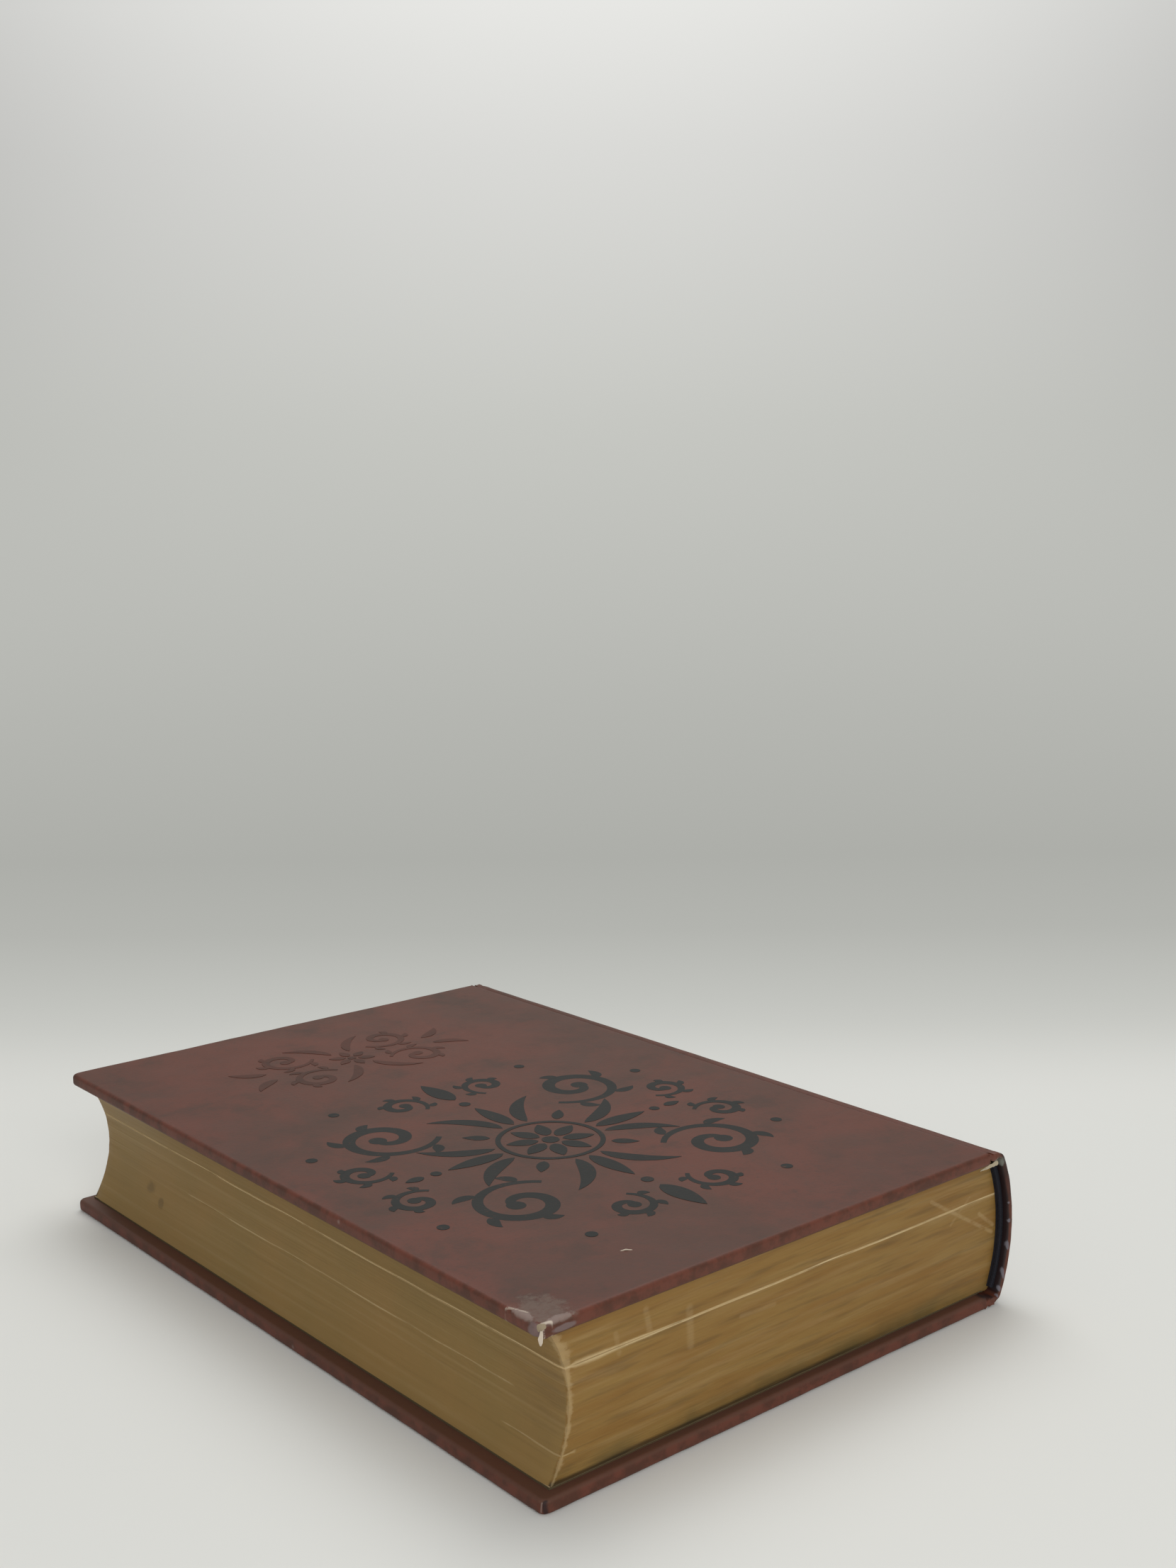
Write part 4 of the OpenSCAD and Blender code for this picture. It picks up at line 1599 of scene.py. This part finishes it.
@dataclass
class CoverOrnament:
    """Printed medallion of scrolls and leaves in the middle of the front cover, the same in all quarters."""

    skin: CoverSkin
    material: bpy.types.Material
    centre: Pair = (-9.5, -30.0)
    small_centre: Pair = (-9.5, 73.0)
    lift: float = 0.02
    layer: float = 0.0006
    thinnest: float = 0.02
    sharp_deg: float = 30.0
    most_points: int = 100_000

    def stroke(self, path: Callable[[float], Pair], half: Callable[[float], float], count: int) -> Stroke:
        """Samples a path and its half width from 0 to 1."""
        ts = [i / count for i in range(count + 1)]
        return Stroke(tuple(path(t) for t in ts), tuple(max(self.thinnest, half(t)) for t in ts))

    def leaf(self, u: float, v: float, heading: float, length: float, half: float,
             curl: float = 0.0) -> Stroke:
        """Pointed leaf from its foot, heading and curling by angles in degrees."""
        def path(t: float) -> Pair:
            """Midrib of the leaf."""
            c, k = direction(heading + curl * t)
            return u + length * t * c, v + length * t * k
        return self.stroke(path, lambda t: half * math.sin(math.pi * t ** 0.8) ** 0.8, 14)

    def dot(self, u: float, v: float, radius: float) -> Stroke:
        """Round dot."""
        return self.stroke(lambda t: (u + radius * (2 * t - 1), v),
                           lambda t: radius * math.sqrt(max(0.0, 1 - (2 * t - 1) ** 2)), 12)

    def scroll(self, u: float, v: float, radius: float, start: float, turns: float, half: float,
               side: int = 1) -> list[Stroke]:
        """Vine that winds into its centre, with leaves along its outer side and a bud at its end.

        Args:
            u: Centre across the cover.
            v: Centre along the cover.
            radius: Radius at the start.
            start: Angle of the start, in degrees.
            turns: How many turns it makes.
            half: Half width of its stem at the start.
            side: 1 to wind anticlockwise, -1 clockwise.

        Returns:
            The strokes.
        """
        def path(t: float) -> Pair:
            """Point of the stem."""
            c, k = direction(start + side * 360 * turns * t)
            r = radius * (1 - 0.84 * t ** 0.85)
            return u + r * c, v + r * k

        found = [self.stroke(path, lambda t: half * (0.3 + 0.7 * math.sin(math.pi * (0.06 + 0.84 * t))), 64)]
        found.append(self.dot(*path(1.0), half * 1.35))
        for t, size in ((0.05, 0.42), (0.17, 0.50), (0.31, 0.46), (0.45, 0.36)):
            x, y = path(t)
            out = start + side * 360 * turns * t
            c, k = direction(out)
            found.append(self.leaf(x + half / 2 * c, y + half / 2 * k, out + side * 28, radius * size,
                                   half * 0.85, side * 34))
        return found

    def ring(self, radius: float, half: float) -> Stroke:
        """Thin ring round the centre."""
        def path(t: float) -> Pair:
            """Point of the ring."""
            c, k = direction(360 * t)
            return radius * c, radius * k
        return self.stroke(path, lambda t: half, 90)

    def rosette(self, petals: int, inner: float, length: float, half: float) -> list[Stroke]:
        """Petals round the centre, with a dot in the middle."""
        found = [self.dot(0, 0, inner * 0.72)]
        for i in range(petals):
            a = 360 * (i + 0.5) / petals
            c, k = direction(a)
            found.append(self.leaf(inner * c, inner * k, a, length, half))
        return found

    def in_quarters(self, quarter: list[Stroke]) -> list[Stroke]:
        """The strokes of one quarter, and the same mirrored into the three others."""
        return [s.mirrored(u, v) for s in quarter for u in (1, -1) for v in (1, -1)]

    def medallion(self) -> list[Stroke]:
        """Large ornament: scrolls and long leaves round a rosette, the same in all four quarters."""
        quarter = self.scroll(35.0, 32.0, 15.5, 214, 1.4, 2.0)
        quarter += self.scroll(15.5, 51.5, 8.0, 236, 1.2, 1.4, -1)
        quarter += self.scroll(55.0, 13.0, 8.0, 214, 1.2, 1.4)
        quarter.append(self.leaf(4.5, 16.5, 82, 23, 2.3, -30))
        quarter.append(self.leaf(16.5, 4.5, 8, 22, 2.3, 26))
        quarter.append(self.leaf(12.3, 12.3, 45, 8, 1.8))
        quarter += [self.dot(60.0, 31.0, 1.7), self.dot(35.0, 59.0, 1.7)]
        found = self.in_quarters(quarter) + self.rosette(8, 3.6, 9.5, 2.4)
        found.append(self.ring(15.0, 0.75))
        for sign in (1, -1):
            heading = 0 if sign == 1 else 180
            found += [self.leaf(0, sign * 17, sign * 90, 19, 2.6),
                      self.leaf(0, sign * 46, sign * 90, 18, 3.2), self.dot(0, sign * 41, 1.8),
                      self.leaf(sign * 17, 0, heading, 19, 2.6),
                      self.leaf(sign * 44, 0, heading, 6, 1.6), self.dot(sign * 40, 0, 1.6)]
        return found

    def small(self) -> list[Stroke]:
        """Small ornament near the head, of which only a faint trace is left."""
        quarter = self.scroll(19.0, 11.5, 9.5, 205, 1.2, 1.3)
        quarter.append(self.leaf(30.0, 3.5, 8, 12, 1.7, 26))
        quarter.append(self.leaf(3.5, 7.0, 80, 17, 1.6, -30))
        return self.in_quarters(quarter) + self.rosette(6, 2.0, 5.5, 1.5)

    def strokes(self) -> list[Stroke]:
        """All strokes of both ornaments, in their places on the cover."""
        return ([s.moved(*self.centre) for s in self.medallion()]
                + [s.moved(*self.small_centre) for s in self.small()])

    def build(self) -> None:
        """Prints the ornament on the front cover's skin, each stroke a layer over the one before."""
        strokes = self.strokes()
        lines = [[Vector((u, v, self.layer * i)) for u, v in s.points] for i, s in enumerate(strokes)]
        made = line_object("cover_ornament", lines, [stroke.halves for stroke in strokes])
        tree = NodeTree("inked stroke", {"Ink height": ("NodeSocketFloat", self.lift * MM)})
        half = tree.add("GeometryNodeInputNamedAttribute", {"data_type": "FLOAT"}, Name="half_width")
        curve = tree.add("GeometryNodeMeshToCurve", Mesh=tree.start.outputs["Geometry"])
        level = tree.add("GeometryNodeSetCurveNormal", {"mode": "Z_UP"}, Curve=curve.outputs[0])
        nib = tree.add("GeometryNodeCurvePrimitiveLine", Start=(-1, 0, 0), End=(1, 0, 0))
        ribbon = tree.add("GeometryNodeCurveToMesh", Curve=level.outputs[0], Profile_Curve=nib.outputs[0],
                          Scale=half.outputs[0])
        raised = tree.add("ShaderNodeCombineXYZ", Z=tree.start.outputs["Ink height"])
        inked = tree.add("GeometryNodeSetPosition", Geometry=ribbon.outputs[0], Offset=raised.outputs[0])
        tree.use(made, inked.outputs[0], self.material)
        self.settle(made)
        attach(made, Cover.FRONT.body)
        LOG.info("cover_ornament: %d strokes", len(strokes))

    def settle(self, made: bpy.types.Object) -> None:
        """Lays the flat ink on the waves of the leather and gives it its thickness."""
        top = self.skin.section.book_t
        mesh = bmesh.new()
        mesh.from_mesh(made.data)
        for face in mesh.faces:
            face.normal_update()
            if face.normal.z < 0:
                face.normal_flip()
        for vert in mesh.verts:
            place = Vector((vert.co.x / MM, vert.co.y / MM, top))
            vert.co.z += (top + self.skin.relief(place)) * MM
        flat = list(mesh.verts)
        bmesh.ops.extrude_face_region(mesh, geom=list(mesh.faces))
        for vert in flat:
            vert.co.z -= 3 * self.lift * MM
        mesh.verts.index_update()
        mesh.faces.sort(key=self.corner_rank)
        shade(mesh, self.sharp_deg)
        mesh.to_mesh(made.data)
        mesh.free()

    def corner_rank(self, face: bmesh.types.BMFace) -> int:
        """One number for a face's three first corners, as the extrusion adds faces in no fixed order."""
        first, second, third = sorted(vert.index for vert in face.verts)[:3]
        return (first * self.most_points + second) * self.most_points + third


@dataclass
class WornBits:
    """Small torn pieces: the peeled corner, the flake on the cover and the strip of endpaper at the tail."""

    section: BookSection
    paper: bpy.types.Material
    torn: bpy.types.Material
    seed: int = 5

    def tongue(self, name: str, spine: Sequence[Vector], halves: Sequence[float], across: Vector,
               depth: Vector, material: bpy.types.Material) -> bpy.types.Object:
        """Makes a thin torn tongue along a line of points.

        Args:
            name: Name of the piece.
            spine: Middle line, from its root to its tip.
            halves: Half width at each point.
            across: Direction of its width.
            depth: Its thickness, from the side that shows to the other.
            material: Its finish.

        Returns:
            The piece, on the front cover's body.
        """
        pick = random.Random(self.seed + len(spine))
        top = []
        for point, half in zip(spine, halves):
            left, right = half * pick.uniform(0.7, 1.25), half * pick.uniform(0.7, 1.25)
            ridge = point - depth * pick.uniform(0.3, 0.9)
            top.append([point - across * left, ridge, point + across * right])
        draft = MeshDraft()
        draft.plate(top, [[p + depth for p in row] for row in top])
        made = draft.make(name, material)
        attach(made, Cover.FRONT.body)
        LOG.info("%s made", name)
        return made

    def build(self) -> None:
        """Makes the torn pieces."""
        s = self.section
        x, y, z = s.fore_x, -s.half_h, s.book_t
        curl = [Vector((x + out, y + along, z - down))
                for out, along, down in ((0.75, 0.65, 1.7), (0.30, 0.25, 2.4), (0.05, 0.00, 3.1),
                                         (-0.10, -0.15, 3.9), (-0.05, -0.10, 4.6))]
        flap = self.tongue("peeled_corner", curl, (0.25, 0.45, 0.62, 0.5, 0.2), Vector((0.76, -0.65, 0)),
                           Vector((0.14, 0.16, 0.03)), self.torn)
        nick = [Vector((u, v, z + rise))
                for u, v, rise in ((-45.6, -101.3, 0.04), (-44.6, -101.9, 0.30), (-43.4, -102.6, 0.06))]
        flake = self.tongue("torn_flake", nick, (0.1, 0.3, 0.1), Vector((0.6, 0.8, 0)),
                            Vector((0, 0, -0.1)), self.torn)
        run = spaced(0, 1, 0.08)
        strip = [Vector((71.2 + 6.4 * t, y + 0.9 - 1.0 * t, z - 4.6 + 1.25 * t + 0.05 * math.sin(17 * t)))
                 for t in run]
        width = [0.12 + 0.50 * t ** 0.8 for t in run]
        torn = self.tongue("torn_endpaper", strip, width, Vector((0, 0.25, 0.97)),
                           Vector((0, 0.16, -0.04)), self.paper)


@dataclass(frozen=True)
class Lamp:
    """Square lamp that faces the book: its place and side in metres, and its power in watts."""

    name: str
    place_m: Triple
    side_m: float
    watts: float

    def build(self) -> None:
        """Makes the lamp."""
        data = bpy.data.lights.new(self.name, "AREA")
        data.size = self.side_m
        data.energy = self.watts
        made = linked_object(self.name, data)
        made.location = self.place_m
        made.rotation_euler = Vector(self.place_m).to_track_quat("Z", "Y").to_euler()


@dataclass
class Studio:
    """Pale floor that rises into a backdrop, soft light and the camera of the photo."""

    camera_at: Triple = (-319.4, -413.7, 225.3)
    azimuth: float = -40.277
    elevation: float = 8.874
    roll: float = -0.546
    lens: float = 41.5
    sensor: float = 36.0
    clip_m: Pair = (0.01, 20.0)
    lamps: tuple[Lamp, ...] = (Lamp("top", (0.32, 0.30, 1.05), 0.9, 7.3),
                               Lamp("front", (-0.55, -1.00, 0.50), 0.8, 7.7))
    ambient: float = 0.335
    ambient_tone: Colour = (0.98, 0.99, 1.0, 1.0)
    sweep_from: float = 1500.0
    sweep_r: float = 350.0
    reach: float = 2200.0
    floor_gap: float = 0.02
    ramp_span: float = 0.6
    ramp_level: float = 0.43
    plain_run: Pair = (450.0, 600.0)
    unlit_fall: Pair = (0.36, 0.29)
    unlit_r: Pair = (600.0, 1000.0)
    plain: Colour = srgb(206, 207, 203)

    @property
    def ahead(self) -> Vector:
        """Level direction that the camera looks in."""
        c, k = direction(self.azimuth)
        return Vector((-k, c, 0))

    @property
    def aside(self) -> Vector:
        """Level direction to the camera's right."""
        return Vector((*direction(self.azimuth), 0))

    def camera(self) -> None:
        """Makes the camera, with its axes from azimuth, elevation and roll."""
        a, e, r = (math.radians(v) for v in (self.azimuth, self.elevation, self.roll))
        back = Vector((math.sin(a) * math.cos(e), -math.cos(a) * math.cos(e), math.sin(e)))
        level = Vector((0, 0, 1)).cross(back).normalized()
        raised = back.cross(level)
        right = level * math.cos(r) + raised * math.sin(r)
        up = raised * math.cos(r) - level * math.sin(r)
        data = bpy.data.cameras.new("camera")
        data.sensor_fit = "VERTICAL"
        data.sensor_height = self.sensor
        data.lens = self.lens
        data.clip_start, data.clip_end = self.clip_m
        made = linked_object("camera", data)
        matrix = made.matrix_world.copy()
        for i, axis in enumerate((right, up, back)):
            for k in range(3):
                matrix[k][i] = axis[k]
        matrix.translation = Vector(self.camera_at) * MM
        made.matrix_world = matrix
        bpy.context.scene.camera = made

    def backdrop_finish(self) -> bpy.types.Material:
        """Pale backdrop that glows with painted light: darker up the sweep and lighter again above it, as
        the photo's backdrop does.

        Light and shadow fall on it only round the book. Further off it glows with the photo's tones as
        painted light, darkened towards the sides higher up, and beside and behind the camera with one plain
        tone.

        Returns:
            The material.
        """
        r = Recipe("backdrop with painted light")
        place = Vector(self.camera_at)
        run = r.x * self.ahead.x + r.y * self.ahead.y - place.dot(self.ahead)
        side = (r.x * self.aside.x + r.y * self.aside.y - place.dot(self.aside)) / run
        fall = (place.z - r.z) / run
        # Painted light: the tones of light falling off up the sweep, shown as a glow.
        stops = [(0.0, srgb(231, 231, 228)), (0.12, srgb(218, 218, 215)), (0.36, srgb(198, 199, 194)),
                 (0.62, srgb(181, 182, 177)), (0.76, srgb(173, 174, 169)), (0.83, srgb(179, 180, 175)),
                 (0.90, srgb(194, 195, 190)), (1.0, srgb(216, 216, 211))]
        ramp = (fall / self.ramp_span + self.ramp_level).max(0.0).min(1.0)
        tone = r.node("ShaderNodeValToRGB", {"stops": stops}, {0: ramp})
        # Painted shade: the glow darkens towards the sides, above the camera's level.
        dimmed = (side * side * fall.step(0.12, -0.25) * 2.3).min(0.26)
        front = run.step(*self.plain_run)
        inside = front * abs(side).step(1.0, 0.5)
        tone = r.mix(inside, self.plain, r.mix(dimmed, tone, srgb(0, 0, 0)))
        seen = r.node("ShaderNodeLightPath", output="Is Camera Ray")
        mirrored = r.node("ShaderNodeLightPath", output="Is Glossy Ray")
        lit = r.node("ShaderNodeBsdfDiffuse", {}, {"Color": srgb(225, 225, 220)})
        shown = r.node("ShaderNodeEmission", {}, {"Color": tone, "Strength": 1.0})
        away = (r.x * r.x + r.y * r.y).sqrt()
        unlit = (fall.step(*self.unlit_fall) * front).max(away.step(*self.unlit_r))
        r.close(r.node("ShaderNodeMixShader", {}, {0: seen.max(mirrored) * unlit, 1: lit, 2: shown}))
        return r.owner

    def backdrop(self) -> None:
        """Makes the floor and the sweep behind it, square to the camera's direction."""
        profile = [(-self.reach, 0.0), (self.sweep_from, 0.0)]
        for angle in spaced(-90, 0, 6)[1:]:
            c, k = direction(angle)
            profile.append((self.sweep_from + self.sweep_r * c, self.sweep_r * (1 + k)))
        profile.append((self.sweep_from + self.sweep_r, self.reach))
        draft = MeshDraft()
        draft.loft([[self.ahead * run + self.aside * w + Vector((0, 0, rise - self.floor_gap))
                     for w in (-self.reach, self.reach)] for run, rise in profile])
        made = draft.make("backdrop", self.backdrop_finish())

    def lights(self) -> None:
        """Makes a light box: a world that the camera sees as one plain tone, and two wide lamps."""
        world = bpy.data.worlds.new("light box")
        bpy.context.scene.world = world
        r = Recipe("light box", world)
        light = r.node("ShaderNodeBackground", {}, {"Color": self.ambient_tone, "Strength": self.ambient})
        shown = r.node("ShaderNodeBackground", {}, {"Color": self.plain, "Strength": 1.0})
        seen = r.node("ShaderNodeLightPath", output="Is Camera Ray")
        mixed = r.node("ShaderNodeMixShader", {}, {0: seen, 1: light, 2: shown})
        r.close(mixed, "ShaderNodeOutputWorld")
        for lamp in self.lamps:
            lamp.build()

    def build(self) -> None:
        """Makes the camera, the backdrop and the lights."""
        self.camera()
        self.backdrop()
        self.lights()
        bpy.context.scene.view_settings.view_transform = "Standard"
        LOG.info("studio made")


class CarriedPieces:
    """Finishes of the CAD nodes that stay as they are."""

    def __init__(self, section: BookSection) -> None:
        """Makes the finishes that the nodes share."""
        self.paper = PaperFinish().make("aged endpaper", section)
        pulp = PulpFinish(srgb(150, 136, 112), srgb(112, 98, 78)).make("pulp board")
        mull = ClothFinish(srgb(196, 186, 160), srgb(120, 104, 76), 1.1).make("open-weave cloth")
        lining = PulpFinish(srgb(158, 132, 96), srgb(124, 100, 70)).make("lining paper")
        self.by_node = {
            "front_flyleaf": self.paper, "back_flyleaf": self.paper,
            "front_pastedown": self.paper, "back_pastedown": self.paper,
            "front_board": pulp, "back_board": pulp, "spine_stiffener": pulp,
            "mull": mull, "front_mull_flange": mull, "back_mull_flange": mull, "back_lining": lining}

    def dress(self) -> None:
        """Puts each finish in its node's material slots."""
        for name, material in self.by_node.items():
            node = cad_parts[name]
            node.data.materials.clear()
            node.data.materials.append(material)
            LOG.info("%s: %s", name, material.name)


def main() -> None:
    """Builds the studio, then the book from its pages outwards."""
    logging.basicConfig(level=logging.INFO, format="%(name)s: %(message)s")
    section = BookSection()
    Studio().build()
    carried = CarriedPieces(section)
    carried.dress()
    PageBlock(section, GiltFinish()).build()
    band = ClothFinish(srgb(38, 38, 46), srgb(16, 16, 21), 0.42, 0.75, 0.05).make("black band")
    for end in End:
        Headband(section, end, band).build()
    leather = LeatherFinish().make("case leather", section)
    skins = {side: CoverSkin(section, side, leather) for side in Cover}
    for side, skin in skins.items():
        skin.build()
        JointStrips(section, side, leather, carried.paper).build()
    SpineSkin(section, leather).build()
    ink = LeatherFinish().make("printed leather", section, inked=0.92)
    CoverOrnament(skins[Cover.FRONT], ink).build()
    torn = PulpFinish(srgb(196, 184, 166), srgb(150, 124, 108)).make("torn leather")
    frayed = PulpFinish(srgb(176, 162, 136), srgb(140, 134, 116)).make("torn paper")
    WornBits(section, frayed, torn).build()


if __name__ == "__main__":
    main()
